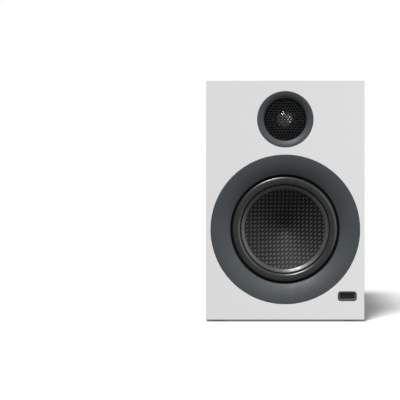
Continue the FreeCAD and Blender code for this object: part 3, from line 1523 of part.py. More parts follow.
def cable(points):
    """A round cable along a rounded path."""
    direction = points[1] - points[0]
    profile = Part.Wire(Part.makeCircle(CABLE_RADIUS, points[0], direction))
    return rounded_path(points).makePipeShell([profile], True, False)


def driver_cables():
    """The cables from the amplifier board to the woofer and to the tweeter."""
    board = BOARD_FRONT - BOARD_THICKNESS
    woofer_z = WOOFER_Z + WOOFER_TERMINAL_RISE
    woofer_y = FRONT + YOKE_DEPTH + WOOFER_BACK_PLATE + TERMINAL_THICKNESS + BLADE_LENGTH
    tweeter_z = TWEETER_Z + TWEETER_TERMINAL_RISE
    tweeter_y = FRONT + TWEETER_YOKE_DEPTH + TWEETER_BACK_PLATE + TERMINAL_THICKNESS + BLADE_LENGTH
    board_z = PLATE_Z + BOARD_HEIGHT / 2 - 8.0
    woofer = cable(
        [
            Vector(-12, board, board_z - 14),
            Vector(-12, board - 16, board_z - 14),
            Vector(-9, (board + woofer_y) / 2, (board_z + woofer_z) / 2 - 6),
            Vector(0, woofer_y + 18, woofer_z),
            Vector(0, woofer_y, woofer_z),
        ]
    )
    tweeter = cable(
        [
            Vector(14, board, board_z),
            Vector(14, board - 18, board_z),
            Vector(13, board - 40, board_z + 22),
            Vector(7, tweeter_y + 44, tweeter_z - 26),
            Vector(0, tweeter_y + 22, tweeter_z),
            Vector(0, tweeter_y, tweeter_z),
        ]
    )
    return Part.makeCompound([woofer, tweeter])


# --- Export --------------------------------------------------------------------------------
def all_parts():
    """Every sub-part, by the name of its node."""
    return {
        "front_baffle": front_baffle(),
        "rear_panel": rear_panel(),
        "top_panel": top_panel(),
        "bottom_panel": bottom_panel(),
        "left_side_panel": side_panel(-1),
        "right_side_panel": side_panel(1),
        "window_brace": window_brace(),
        "rubber_feet": rubber_feet(),
        "damping_pads": damping_pads(),
        "woofer_trim_ring": woofer_trim_ring(),
        "woofer_basket": woofer_basket(),
        "woofer_surround": woofer_surround(),
        "woofer_cone": woofer_cone(),
        "woofer_coil_former": woofer_coil_former(),
        "woofer_voice_coil": woofer_voice_coil(),
        "woofer_spider": woofer_spider(),
        "woofer_top_plate": woofer_top_plate(),
        "woofer_magnet": woofer_magnet(),
        "woofer_yoke": woofer_yoke(),
        "woofer_screws": woofer_screws(),
        "tweeter_trim_ring": tweeter_trim_ring(),
        "tweeter_grille": tweeter_grille(),
        "tweeter_chassis": tweeter_chassis(),
        "tweeter_dome": tweeter_dome(),
        "tweeter_dome_surround": tweeter_dome_surround(),
        "tweeter_voice_coil": tweeter_voice_coil(),
        "tweeter_top_plate": tweeter_top_plate(),
        "tweeter_magnet": tweeter_magnet(),
        "tweeter_yoke": tweeter_yoke(),
        "tweeter_screws": tweeter_screws(),
        "driver_terminals": driver_terminals(),
        "driver_cables": driver_cables(),
        "status_window_bezel": status_window_bezel(),
        "status_window_lens": status_window_lens(),
        "status_light_board": status_light_board(),
        "reflex_port": reflex_port(),
        "amplifier_plate": amplifier_plate(),
        "amplifier_plate_screws": amplifier_plate_screws(),
        "volume_knob": volume_knob(),
        "volume_shaft": volume_shaft(),
        "volume_control": volume_control(),
        "source_button": source_button(),
        "source_switch": source_switch(),
        "power_rocker": power_rocker(),
        "power_switch_body": power_switch_body(),
        "mains_inlet": mains_inlet(),
        "mains_inlet_pins": mains_inlet_pins(),
        "line_jack_shells": line_jack_shells(),
        "line_jack_insulators": line_jack_insulators(),
        "aux_jack": aux_jack(),
        "post_collars": post_collars(),
        "binding_posts": binding_posts(),
        "positive_post_washer": post_washer(POST_X[0]),
        "positive_post_cap": post_cap(POST_X[0]),
        "negative_post_washer": post_washer(POST_X[1]),
        "negative_post_cap": post_cap(POST_X[1]),
        "amplifier_board": amplifier_board(),
        "heat_sink": heat_sink(),
        "power_transformer": power_transformer(),
        "board_capacitors": board_capacitors(),
    }


def export(parts):
    """Writes one STEP file for each sub-part."""
    os.makedirs("parts", exist_ok=True)
    for name, shape in parts.items():
        shape.exportStep(f"parts/{name}.step")


export(all_parts())
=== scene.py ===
import json
import math
from functools import partial

import bmesh
import bpy
from mathutils import Matrix, Vector

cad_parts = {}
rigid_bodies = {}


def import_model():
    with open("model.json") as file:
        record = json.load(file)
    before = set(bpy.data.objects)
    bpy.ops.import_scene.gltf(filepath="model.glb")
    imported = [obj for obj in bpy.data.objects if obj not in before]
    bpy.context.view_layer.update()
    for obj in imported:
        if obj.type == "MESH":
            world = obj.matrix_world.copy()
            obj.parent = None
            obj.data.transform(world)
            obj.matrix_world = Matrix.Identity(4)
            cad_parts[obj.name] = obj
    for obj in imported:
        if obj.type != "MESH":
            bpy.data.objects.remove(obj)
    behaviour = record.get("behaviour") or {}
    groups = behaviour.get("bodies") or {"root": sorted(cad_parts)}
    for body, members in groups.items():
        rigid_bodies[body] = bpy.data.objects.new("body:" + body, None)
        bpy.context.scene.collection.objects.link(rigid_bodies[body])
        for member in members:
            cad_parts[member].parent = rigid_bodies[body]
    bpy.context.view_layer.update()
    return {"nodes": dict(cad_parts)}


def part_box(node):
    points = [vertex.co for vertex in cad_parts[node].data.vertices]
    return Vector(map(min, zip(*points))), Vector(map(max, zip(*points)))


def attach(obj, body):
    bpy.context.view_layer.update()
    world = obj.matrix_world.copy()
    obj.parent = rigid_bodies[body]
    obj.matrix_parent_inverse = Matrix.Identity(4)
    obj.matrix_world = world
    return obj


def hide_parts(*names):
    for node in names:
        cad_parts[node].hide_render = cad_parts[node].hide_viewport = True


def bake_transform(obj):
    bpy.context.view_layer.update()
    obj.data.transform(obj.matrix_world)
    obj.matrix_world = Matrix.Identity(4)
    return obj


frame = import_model()

bl_info = {
    "name": "Powered Bookshelf Speaker",
    "version": (1, 0, 0),
    "blender": (4, 5, 0),
    "location": "View3D > Sidebar > Speaker",
    "description": "Builds a powered two-way bookshelf speaker with its finishes and studio",
    "category": "Object",
}

# The cabinet's front stands in the plane y = FRONT, and depths are measured back from it.
# The rear face stands in the plane y = REAR. All sizes are in metres.
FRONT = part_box("front_baffle")[0].y
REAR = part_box("rear_panel")[1].y
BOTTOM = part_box("bottom_panel")[0].z
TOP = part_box("top_panel")[1].z
HALF_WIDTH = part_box("front_baffle")[1].x
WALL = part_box("bottom_panel")[1].z - BOTTOM
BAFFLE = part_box("front_baffle")[1].y - FRONT


def middle(node):
    low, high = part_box(node)
    return (low + high) / 2


WOOFER = middle("woofer_trim_ring")
TWEETER = middle("tweeter_trim_ring")
PORT = middle("reflex_port")
PLATE = middle("amplifier_plate")
WINDOW = middle("status_window_bezel")
WOOFER_AXIS = (0.0, FRONT, WOOFER.z)
TWEETER_AXIS = (0.0, FRONT, TWEETER.z)


# --- Settings ---
def colour(name, description, default):
    return bpy.props.FloatVectorProperty(
        name=name,
        description=description,
        default=default,
        size=3,
        min=0.0,
        max=1.0,
        subtype="COLOR",
    )


def length(name, description, default):
    return bpy.props.FloatProperty(
        name=name,
        description=description,
        default=default,
        min=0.0,
        unit="LENGTH",
        subtype="DISTANCE",
        precision=5,
    )


class SpeakerSizes(bpy.types.PropertyGroup):
    """Sizes of the visible detail"""

    edge_radius: length("Cabinet edge", "Radius of the cabinet's outer edges", 0.0006)
    weave_pitch: length("Weave pitch", "Spacing of neighbouring strands in the cone", 0.00455)
    weave_height: length("Weave height", "How far a strand rises over the gaps beside it", 0.0006)
    small_bevel: length("Small bevel", "Bevel on the larger pieces of the rear", 0.0003)


class SpeakerFinish(bpy.types.PropertyGroup):
    """Colours of the finishes"""

    cabinet: colour("Cabinet", "Lacquer on the cabinet", (0.785, 0.785, 0.783))
    ring: colour("Trim rings", "Plastic of both trim rings", (0.050, 0.059, 0.066))
    rubber: colour("Surround", "Rubber round the cone", (0.020, 0.0205, 0.0215))
    fibre: colour("Cone fibre", "Woven strands of the cone", (0.060, 0.061, 0.062))
    dome: colour("Dome", "Metal of the tweeter's dome", (0.80, 0.80, 0.81))
    plate: colour("Amplifier plate", "Powder coat on the amplifier plate", (0.016, 0.016, 0.017))
    black: colour("Black plastic", "Moulded black pieces", (0.018, 0.018, 0.019))
    red: colour("Red plastic", "Cap of the positive post", (0.40, 0.012, 0.010))


def settings():
    return bpy.context.scene.speaker_sizes, bpy.context.scene.speaker_finish


# --- Materials ---
class Finish:
    """A node material that reads Object coordinates."""

    def __init__(self, name, **constants):
        self.material = bpy.data.materials.new(name)
        self.material.use_nodes = True
        self.tree = self.material.node_tree
        self.tree.nodes.clear()
        self.shader = self.node("ShaderNodeBsdfPrincipled", **constants)
        out = self.node("ShaderNodeOutputMaterial")
        self.link(self.shader.outputs["BSDF"], out.inputs["Surface"])
        self.place = self.node("ShaderNodeTexCoord").outputs["Object"]
        self.height = None

    def node(self, kind, settings=(), **values):
        made = self.tree.nodes.new(kind)
        for key, value in dict(settings).items():
            setattr(made, key, value)
        for key, value in values.items():
            socket = made.inputs[key.replace("_", " ")]
            if isinstance(value, bpy.types.NodeSocket):
                self.link(value, socket)
            else:
                socket.default_value = value
        return made

    def link(self, source, target):
        self.tree.links.new(source, target)

    def stretched(self, scale):
        """Object coordinates scaled differently along each axis."""
        return self.node("ShaderNodeMapping", Vector=self.place, Scale=scale).outputs["Vector"]

    def noise(self, scale, detail=3.0, rough=0.5, place=None):
        made = self.node(
            "ShaderNodeTexNoise",
            Vector=place or self.place,
            Scale=scale,
            Detail=detail,
            Roughness=rough,
        )
        return made.outputs["Fac"]

    def cells(self, scale, feature="F1"):
        made = self.node(
            "ShaderNodeTexVoronoi",
            settings={"feature": feature},
            Vector=self.place,
            Scale=scale,
        )
        return made.outputs["Distance"]

    def attribute(self, name):
        made = self.node("ShaderNodeAttribute", settings={"attribute_name": name})
        return made.outputs["Fac"]

    def mixed(self, factor, first, second):
        made = self.node("ShaderNodeMix", Factor=factor)
        self.link(first, made.inputs["A"])
        self.link(second, made.inputs["B"])
        return made.outputs["Result"]

    def product(self, first, second):
        made = self.node("ShaderNodeMath", settings={"operation": "MULTIPLY"})
        self.link(first, made.inputs[0])
        self.link(second, made.inputs[1])
        return made.outputs["Value"]

    def spread(self, value, low, high):
        """Maps a pattern's middle part onto low..high."""
        made = self.node(
            "ShaderNodeMapRange",
            Value=value,
            From_Min=0.3,
            From_Max=0.7,
            To_Min=low,
            To_Max=high,
        )
        return made.outputs["Result"]

    def paint(self, pattern, *stops):
        """Base colour from a ramp of (position, colour) over a pattern."""
        ramp = self.node("ShaderNodeValToRGB", Fac=pattern)
        elements = ramp.color_ramp.elements
        while len(elements) < len(stops):
            elements.new(0.5)
        for element, (position, shade) in zip(elements, stops):
            element.position = position
            element.color = (*shade, 1.0)
        self.link(ramp.outputs["Color"], self.shader.inputs["Base Color"])

    def shades(self, pattern, base, spread=0.06):
        """Base colour a little darker and lighter over a pattern."""
        dark = tuple(c * (1 - spread) for c in base)
        light = tuple(min(c * (1 + spread), 1.0) for c in base)
        self.paint(pattern, (0.3, dark), (0.7, light))

    def roughness(self, pattern, low, high):
        self.link(self.spread(pattern, low, high), self.shader.inputs["Roughness"])

    def bump(self, pattern, distance):
        """Adds a layer of bump, of that height in metres."""
        made = self.node("ShaderNodeBump", Strength=1.0, Distance=distance, Height=pattern)
        if self.height:
            self.link(self.height, made.inputs["Normal"])
        self.height = made.outputs["Normal"]
        self.link(self.height, self.shader.inputs["Normal"])


def moulded(name, base, rough=0.42, grain=2600.0, depth=0.00002, spread=0.08, gloss=0.5):
    """Moulded plastic or rubber: fine grain, faint mottling and uneven gloss."""
    made = Finish(name, Specular_IOR_Level=gloss)
    made.shades(made.noise(38.0, 4.0), base, spread)
    made.roughness(made.noise(190.0, 4.0), rough - 0.05, rough + 0.06)
    made.bump(made.noise(grain, 2.0), depth)
    made.bump(made.cells(grain * 0.55), depth * 0.6)
    return made.material


def lacquer(name, base):
    """Sprayed matte lacquer: a soft orange peel and a very slight cloudiness."""
    made = Finish(name, Coat_Weight=0.12, Coat_Roughness=0.38, Specular_IOR_Level=0.42)
    made.shades(made.noise(5.0, 3.0), base, 0.010)
    made.roughness(made.noise(60.0, 4.0), 0.40, 0.48)
    made.bump(made.noise(420.0, 2.0), 0.000012)
    made.bump(made.noise(3800.0, 2.0), 0.000006)
    return made.material


def machined(name, base, rough=0.28, metallic=1.0):
    """Drawn or turned metal: fine lines and small tarnish."""
    made = Finish(name, Metallic=metallic)
    lines = made.noise(260.0, 5.0, 0.65, made.stretched((1.0, 40.0, 1.0)))
    made.shades(made.noise(90.0, 5.0), base, 0.10)
    made.roughness(lines, rough - 0.06, rough + 0.10)
    made.bump(lines, 0.000008)
    return made.material


def powder_coat(name, base):
    """Powder coat: tiny pebbles with a low sheen."""
    made = Finish(name, Specular_IOR_Level=0.45)
    made.shades(made.noise(45.0, 4.0), base, 0.15)
    made.roughness(made.noise(240.0, 3.0), 0.46, 0.60)
    made.bump(made.cells(1500.0, "SMOOTH_F1"), 0.00006)
    return made.material


def fibreboard(name, base):
    """Raw fibreboard: short fibres and darker flecks."""
    made = Finish(name)
    fibres = made.noise(900.0, 6.0, 0.7, made.stretched((1.0, 1.0, 0.25)))
    dark = tuple(c * 0.72 for c in base)
    made.paint(fibres, (0.30, dark), (0.52, base), (0.75, tuple(c * 1.15 for c in base)))
    made.roughness(fibres, 0.75, 0.95)
    made.bump(fibres, 0.00008)
    return made.material


def cloth(name, base, pitch):
    """Woven or felted cloth: small cells under loose fibres."""
    made = Finish(name, Sheen_Weight=0.3, Sheen_Roughness=0.5)
    fuzz = made.noise(pitch * 1.6, 5.0, 0.7)
    made.shades(fuzz, base, 0.25)
    made.roughness(fuzz, 0.75, 0.95)
    made.bump(made.cells(pitch), 0.0002)
    made.bump(fuzz, 0.0001)
    return made.material


def strands(name, base):
    """Resin-coated glass strands. The mesh's strand attribute is 0 where a strand runs up the
    cone and 1 where it runs across, so its fibres follow it, and its crown attribute falls to
    0 in the gaps. The colour is painted near black in the gaps and darker on the strands'
    flanks: painted shade, where the strands shade each other."""
    made = Finish(name, Specular_IOR_Level=0.22)
    up = made.noise(1.0, 3.0, 0.6, made.stretched((9000.0, 1.0, 260.0)))
    across = made.noise(1.0, 3.0, 0.6, made.stretched((260.0, 1.0, 9000.0)))
    fibres = made.mixed(made.attribute("strand"), up, across)
    pattern = made.product(made.attribute("crown"), made.spread(fibres, 0.75, 1.0))
    # Painted shade: near black in the gaps between crowns, darker on the strands' flanks.
    gap_shade = tuple(c * 0.08 for c in base)
    flank_shade = tuple(c * 0.35 for c in base)
    made.paint(pattern, (0.08, gap_shade), (0.40, flank_shade), (0.80, base))
    made.roughness(fibres, 0.46, 0.58)
    made.bump(fibres, 0.00004)
    return made.material


def dome_metal(name, base):
    """Thin anodised metal: glossy, with faint spinning lines and colour drift."""
    made = Finish(name, Metallic=1.0, Coat_Weight=0.2, Coat_Roughness=0.12)
    made.shades(made.noise(120.0, 3.0), base, 0.08)
    made.roughness(made.noise(300.0, 4.0), 0.24, 0.32)
    made.bump(made.noise(2400.0, 2.0), 0.000004)
    return made.material


def circuit_board(name, base):
    """Solder-masked board: copper areas under the green, with small pads."""
    made = Finish(name, Coat_Weight=0.4, Coat_Roughness=0.15)
    tracks = made.cells(160.0, "DISTANCE_TO_EDGE")
    bright = tuple(min(c * 1.9 + 0.01, 1.0) for c in base)
    made.paint(tracks, (0.05, bright), (0.12, base))
    made.roughness(made.noise(300.0, 3.0), 0.25, 0.42)
    made.bump(tracks, 0.00003)
    return made.material


def dark_window(name, base):
    """Dark see-through plastic over the light and the receiver."""
    made = Finish(name, Coat_Weight=0.5, Coat_Roughness=0.04, Specular_IOR_Level=0.5)
    made.shades(made.noise(60.0, 2.0), base, 0.2)
    made.roughness(made.noise(400.0, 3.0), 0.06, 0.12)
    made.bump(made.noise(900.0, 2.0), 0.000003)
    return made.material


def laminations(name, base):
    """Stacked, lacquered steel sheets."""
    made = Finish(name, Metallic=0.6)
    sheets = made.noise(1.0, 2.0, 0.5, made.stretched((2600.0, 30.0, 30.0)))
    made.shades(sheets, base, 0.35)
    made.roughness(sheets, 0.40, 0.62)
    made.bump(sheets, 0.00008)
    return made.material


def winding(name, base):
    """Enamelled copper wire, wound in fine turns."""
    made = Finish(name, Metallic=0.9)
    turns = made.noise(1.0, 1.0, 0.5, made.stretched((40.0, 5200.0, 40.0)))
    made.shades(turns, base, 0.3)
    made.roughness(turns, 0.25, 0.42)
    made.bump(turns, 0.00006)
    return made.material


def cable_jacket(name, base):
    """Soft cable jacket with a faint lengthwise grain."""
    made = Finish(name)
    grain = made.noise(1600.0, 3.0)
    made.shades(made.noise(140.0, 3.0), base, 0.15)
    made.roughness(grain, 0.48, 0.62)
    made.bump(grain, 0.00003)
    return made.material


# Each finish by its name: the recipe, the colour or the setting that holds it, and the values
# that differ from the recipe's own.
FINISHES = {
    "white_lacquer": (lacquer, "cabinet", {}),
    "foot_rubber": (moulded, (0.42, 0.42, 0.425), {"rough": 0.6}),
    "slate_plastic": (moulded, "ring", {"rough": 0.56, "spread": 0.05}),
    "surround_rubber": (
        moulded,
        "rubber",
        {"rough": 0.31, "grain": 3400.0, "depth": 0.000006, "gloss": 0.85},
    ),
    # Near black and almost without gloss: partly real seal rubber, partly painted shade in the gaps
    # round the roll and the tweeter's mesh.
    "seal_rubber": (moulded, (0.002, 0.002, 0.002), {"rough": 0.8, "gloss": 0.1}),
    "woven_fibre": (strands, "fibre", {}),
    "cone_rim": (
        moulded,
        (0.055, 0.056, 0.058),
        {"rough": 0.34, "grain": 1800.0, "depth": 0.000006, "gloss": 0.65},
    ),
    "grille_steel": (
        moulded,
        (0.005, 0.005, 0.005),
        {"rough": 0.42, "grain": 3000.0, "gloss": 0.32},
    ),
    "throat_plastic": (moulded, (0.003, 0.003, 0.003), {"rough": 0.7, "gloss": 0.15}),
    "dome_metal": (dome_metal, "dome", {}),
    "soft_roll": (moulded, (0.02, 0.02, 0.021), {"rough": 0.5}),
    "bezel_plastic": (
        moulded,
        (0.075, 0.078, 0.083),
        {"rough": 0.30, "grain": 1500.0, "depth": 0.00001},
    ),
    "window_plastic": (dark_window, (0.010, 0.010, 0.012), {}),
    "black_plastic": (moulded, "black", {}),
    "gloss_black": (moulded, (0.012, 0.012, 0.013), {"rough": 0.16, "depth": 0.000006}),
    "red_plastic": (moulded, "red", {"rough": 0.22, "depth": 0.000008}),
    "jack_white": (moulded, (0.66, 0.65, 0.61), {"rough": 0.30}),
    "white_ink": (moulded, (0.60, 0.60, 0.58), {"rough": 0.5, "depth": 0.000004}),
    "plate_metal": (powder_coat, "plate", {}),
    "screw_black": (machined, (0.05, 0.05, 0.052), {"rough": 0.34, "metallic": 0.9}),
    "nickel": (machined, (0.62, 0.61, 0.58), {"rough": 0.24}),
    "plated_steel": (machined, (0.52, 0.53, 0.54), {"rough": 0.32}),
    "coil_former": (machined, (0.70, 0.70, 0.72), {}),
    "sink_aluminium": (machined, (0.42, 0.43, 0.44), {"rough": 0.38}),
    "driver_steel": (powder_coat, (0.02, 0.02, 0.021), {}),
    "magnet_ferrite": (
        moulded,
        (0.035, 0.035, 0.038),
        {"rough": 0.62, "grain": 900.0, "depth": 0.0001},
    ),
    "copper_wire": (winding, (0.62, 0.26, 0.10), {}),
    "board_green": (circuit_board, (0.012, 0.07, 0.028), {}),
    "raw_fibreboard": (fibreboard, (0.42, 0.29, 0.17), {}),
    "wadding": (cloth, (0.66, 0.66, 0.64), {"pitch": 500.0}),
    "spider_cloth": (cloth, (0.55, 0.37, 0.15), {"pitch": 1400.0}),
    "cable_jacket": (cable_jacket, (0.025, 0.025, 0.026), {}),
    "transformer_iron": (laminations, (0.09, 0.08, 0.075), {}),
    "can_sleeve": (moulded, (0.012, 0.02, 0.07), {"rough": 0.25}),
}
MADE = {}


def finish(name):
    """The material of that name, made on its first use."""
    if name not in MADE:
        recipe, base, values = FINISHES[name]
        if isinstance(base, str):
            base = getattr(settings()[1], base)
        MADE[name] = recipe(name, base, **values)
    return MADE[name]


# --- Mesh helpers ---
# The area, in square metres, from which a face is large; angles are in radians.
LARGE_FACE = 0.0001
LEVEL_ANGLE = 0.001


def is_large(face):
    return face.calc_area() > LARGE_FACE


def is_level(edge):
    """True for an edge that lies inside a flat side, next to a large face of it."""
    return edge.calc_face_angle(1.0) < LEVEL_ANGLE and any(map(is_large, edge.link_faces))


def smooth_by_angle(bm, degrees, flat_large=False):
    """Smooth faces, with sharp edges where two faces meet at more than that angle. The large
    sides of flat-sided pieces stay flat, so that no bevel bends their shading."""
    for face in bm.faces:
        face.smooth = not (flat_large and (is_large(face) or any(map(is_level, face.edges))))
    for edge in bm.edges:
        if len(edge.link_faces) == 2 and edge.calc_face_angle(0.0) > math.radians(degrees):
            edge.smooth = False


def placed(name, data):
    obj = bpy.data.objects.new(name, data)
    bpy.context.scene.collection.objects.link(obj)
    return obj


def mesh_of(bm, name):
    """The bmesh as a mesh of that name; the bmesh is freed."""
    mesh = bpy.data.meshes.new(name)
    bm.to_mesh(mesh)
    bm.free()
    return mesh


def new_piece(
    name, bm, material, stands_for=(), body="cabinet", slot=None, sharp=38.0, flat_large=False
):
    """Makes an object of a bmesh, and says what it moves with and stands for. Its material is
    the finish itself; the slot argument is not used."""
    bmesh.ops.recalc_face_normals(bm, faces=bm.faces)
    smooth_by_angle(bm, sharp, flat_large)
    obj = placed(name, mesh_of(bm, name))
    obj.data.materials.append(finish(material))
    if body:
        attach(obj, body)
    if stands_for:
        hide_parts(*stands_for)
    return obj


def bevel(bm, geom, width, segments=2, affect="EDGES"):
    bmesh.ops.bevel(
        bm,
        geom=geom,
        offset=width,
        offset_type="OFFSET",
        segments=segments,
        profile=0.5,
        affect=affect,
        material=-1,
        clamp_overlap=True,
        loop_slide=affect == "EDGES",
    )


def turned(points, origin, rounding=None, closed=True, steps=128):
    """A surface of revolution about the line along Y through the origin, from a profile of
    (radius, depth) points. Rounding maps a point's place in the list to the radius of its
    corner."""
    bm = bmesh.new()
    verts = [bm.verts.new((origin[0] + r, origin[1] + t, origin[2])) for r, t in points]
    pairs = list(zip(verts, verts[1:]))
    if closed:
        pairs.append((verts[-1], verts[0]))
    for pair in pairs:
        bm.edges.new(pair)
    for index, radius in (rounding or {}).items():
        bevel(bm, [verts[index]], radius, 3, "VERTICES")
    bmesh.ops.spin(
        bm,
        geom=bm.verts[:] + bm.edges[:],
        cent=origin,
        axis=(0, 1, 0),
        angle=math.tau,
        steps=steps,
        use_merge=True,
        use_duplicate=False,
    )
    bmesh.ops.remove_doubles(bm, verts=bm.verts, dist=1e-6)
    return bm


def circle_radius(half_chord, rise):
    """Radius of the circle through a chord's ends and a point that far over its middle."""
    return (half_chord**2 + rise**2) / (2 * abs(rise))


def arc(start, end, sag, count):
    """Points from start to end on a circle that bulges by sag to the left of the way."""
    start, end = Vector(start), Vector(end)
    chord = end - start
    across = Vector((-chord.y, chord.x)).normalized()
    radius = circle_radius(chord.length / 2, sag)
    side = math.copysign(1.0, sag)
    centre = (start + end) / 2 + across * (sag - side * radius)
    first = math.atan2(start.y - centre.y, start.x - centre.x)
    sweep = math.atan2(end.y - centre.y, end.x - centre.x) - first
    if abs(sweep) > math.pi:
        sweep -= math.copysign(math.tau, sweep)
    steps = [first + sweep * i / count for i in range(count + 1)]
    return [(centre.x + radius * math.cos(a), centre.y + radius * math.sin(a)) for a in steps]


def copy_of(node):
    """A merged copy of a CAD node's mesh, with its flat faces made whole."""
    bm = bmesh.new()
    bm.from_mesh(frame["nodes"][node].data)
    bm.transform(frame["nodes"][node].matrix_world)
    bmesh.ops.remove_doubles(bm, verts=bm.verts, dist=2e-6)
    bmesh.ops.dissolve_limit(
        bm, angle_limit=math.radians(0.6), verts=bm.verts, edges=bm.edges, delimit=set()
    )
    return bm


SHARP_ANGLE = math.radians(50.0)
TINY_BEVEL = 0.00015
FINE_BEVEL = 0.0002
SOFT_BEVEL = 0.0004


def sharp_edges(bm):
    return [
        e for e in bm.edges if len(e.link_faces) == 2 and e.calc_face_angle(0.0) > SHARP_ANGLE
    ]


def refined(node, width, segments=2):
    """A copy of a CAD node whose sharp edges are bevelled."""
    bm = copy_of(node)
    bevel(bm, sharp_edges(bm), width, segments)
    return bm


def refined_piece(name, node, material, body="cabinet", width=None):
    """A refined copy of a CAD node as a piece; without a width, with the small bevel."""
    bm = refined(node, width or settings()[0].small_bevel)
    new_piece(name, bm, material, [node], body, flat_large=True)


def add_box(bm, low, high):
    """Adds a box between two corners, and returns its vertices."""
    low, high = Vector(low), Vector(high)
    size = high - low
    matrix = Matrix.Translation((low + high) / 2) @ Matrix.Diagonal((*size, 1.0))
    return bmesh.ops.create_cube(bm, size=1.0, matrix=matrix)["verts"]


def add_rod(bm, x, z, radius, start, end, segments):
    """Adds a rod along Y."""
    matrix = Matrix.Translation((x, (start + end) / 2, z)) @ Matrix.Rotation(
        math.radians(-90), 4, "X"
    )
    bmesh.ops.create_cone(
        bm,
        cap_ends=True,
        segments=segments,
        radius1=radius,
        radius2=radius,
        depth=end - start,
        matrix=matrix,
    )


def add_rounded_slab(bm, centre, size, corner, start, end):
    """Adds a slab, of that width and height, whose four edges along Y are rounded."""
    x, z = size[0] / 2, size[1] / 2
    verts = add_box(
        bm, (centre.x - x, start, centre.z - z), (centre.x + x, end, centre.z + z)
    )
    edges = {e for v in verts for e in v.link_edges}
    along = [e for e in edges if abs((e.verts[0].co - e.verts[1].co).normalized().y) > 0.9]
    bevel(bm, along, corner, 8)


def cut_away(target, build_cutter):
    """Subtracts a shape from an object's mesh."""
    bm = bmesh.new()
    build_cutter(bm)
    bmesh.ops.recalc_face_normals(bm, faces=bm.faces)
    cutter = placed("cutter", mesh_of(bm, "cutter"))
    modifier = target.modifiers.new("cut", "BOOLEAN")
    modifier.operation = "DIFFERENCE"
    modifier.solver = "EXACT"
    modifier.object = cutter
    bpy.context.view_layer.update()
    evaluated = target.evaluated_get(bpy.context.evaluated_depsgraph_get())
    result = bpy.data.meshes.new_from_object(evaluated)
    target.modifiers.clear()
    old = target.data
    target.data = result
    bpy.data.meshes.remove(old)
    shape = cutter.data
    bpy.data.objects.remove(cutter)
    bpy.data.meshes.remove(shape)


# --- Cabinet ---
# How far a cutter stands out of the face that it cuts.
PROUD = 0.01
# Each driver's hole narrows in steps of a radius, a depth and a number of sides.
WOOFER_STEPS = ((0.08415, 0.0032, 160), (0.07325, 0.012, 128), (0.0645, 0.03, 96))
TWEETER_STEPS = ((0.03175, 0.0072, 128), (0.02545, 0.03, 96))
# Pockets and openings have a width and a height.
WINDOW_POCKET = (0.0214, 0.0111)
WINDOW_CORNER = 0.00345
WINDOW_DEPTH = 0.012
PLATE_REBATE = (0.1225, 0.1525)
PLATE_CORNER = 0.00425
PLATE_DEPTH = 0.00125
PLATE_OPENING = (0.104, 0.134)
PORT_HOLE = 0.02925
REAR_CUT = 0.02


def solid_cabinet(edge_radius):
    """The cabinet's outside as one block with rounded edges."""
    bm = bmesh.new()
    add_box(bm, (-HALF_WIDTH, FRONT, BOTTOM), (HALF_WIDTH, REAR, TOP))
    bevel(bm, bm.edges[:], edge_radius, 4)
    bmesh.ops.recalc_face_normals(bm, faces=bm.faces)
    return placed("cabinet_block", mesh_of(bm, "cabinet_block"))


def inside_cutter():
    low = (-HALF_WIDTH + WALL, FRONT + BAFFLE, BOTTOM + WALL)
    return partial(add_box, low=low, high=(HALF_WIDTH - WALL, REAR - WALL, TOP - WALL))


def front_cutters():
    """Stepped holes for the drivers and the pocket of the status window."""
    cutters = []
    for driver, steps in ((WOOFER, WOOFER_STEPS), (TWEETER, TWEETER_STEPS)):
        for radius, depth, sides in steps:
            ends = {"start": FRONT - PROUD, "end": FRONT + depth}
            cutters.append(partial(add_rod, x=0, z=driver.z, radius=radius, segments=sides, **ends))
    ends = {"start": FRONT - PROUD, "end": FRONT + WINDOW_DEPTH}
    pocket = {"centre": WINDOW, "size": WINDOW_POCKET, "corner": WINDOW_CORNER}
    cutters.append(partial(add_rounded_slab, **pocket, **ends))
    return cutters


def rear_cutters():
    """The plate's rebate and opening, and the hole for the port."""
    rebate = {"centre": PLATE, "size": PLATE_REBATE, "corner": PLATE_CORNER}
    x, z = PLATE_OPENING[0] / 2, PLATE_OPENING[1] / 2
    start, end = REAR - REAR_CUT, REAR + PROUD
    return [
        partial(add_rounded_slab, **rebate, start=PLATE.y - PLATE_DEPTH, end=end),
        partial(add_box, low=(-x, start, PLATE.z - z), high=(x, end, PLATE.z + z)),
        partial(add_rod, x=0, z=PORT.z, radius=PORT_HOLE, start=start, end=end, segments=128),
    ]


class SPEAKER_OT_cabinet(bpy.types.Operator):
    """Build the lacquered cabinet and its feet"""

    bl_idname = "speaker.cabinet"
    bl_label = "Cabinet"

    def execute(self, context):
        shell = solid_cabinet(settings()[0].edge_radius)
        for cutter in [inside_cutter()] + front_cutters() + rear_cutters():
            cut_away(shell, cutter)
        bm = bmesh.new()
        bm.from_mesh(shell.data)
        bpy.data.objects.remove(shell)
        bmesh.ops.remove_doubles(bm, verts=bm.verts, dist=1e-7)
        panels = ["front_baffle", "rear_panel", "top_panel", "bottom_panel"]
        panels += ["left_side_panel", "right_side_panel"]
        new_piece("cabinet_shell", bm, "white_lacquer", panels, sharp=32.0, flat_large=True)
        feet = refined("rubber_feet", SOFT_BEVEL)
        new_piece("soft_feet", feet, "foot_rubber", ["rubber_feet"])
        return {"FINISHED"}


# --- Woofer ---
RING_RADIUS = 0.0839
RING_OPENING = 0.0617
RING_DISH = 0.0065
RING_BACK = [
    (RING_OPENING, 0.0078),
    (0.0627, 0.0080),
    (0.0645, 0.0078),
    (0.0648, 0.0062),
    (0.0728, 0.0030),
    (RING_RADIUS, 0.0030),
]
RING_EDGE = 0.0003
RING_LIP = 0.0007
PEG_CIRCLE = 0.078325
PEG_RADIUS = 0.002
PEG_START = 0.003
PEG_END = 0.009


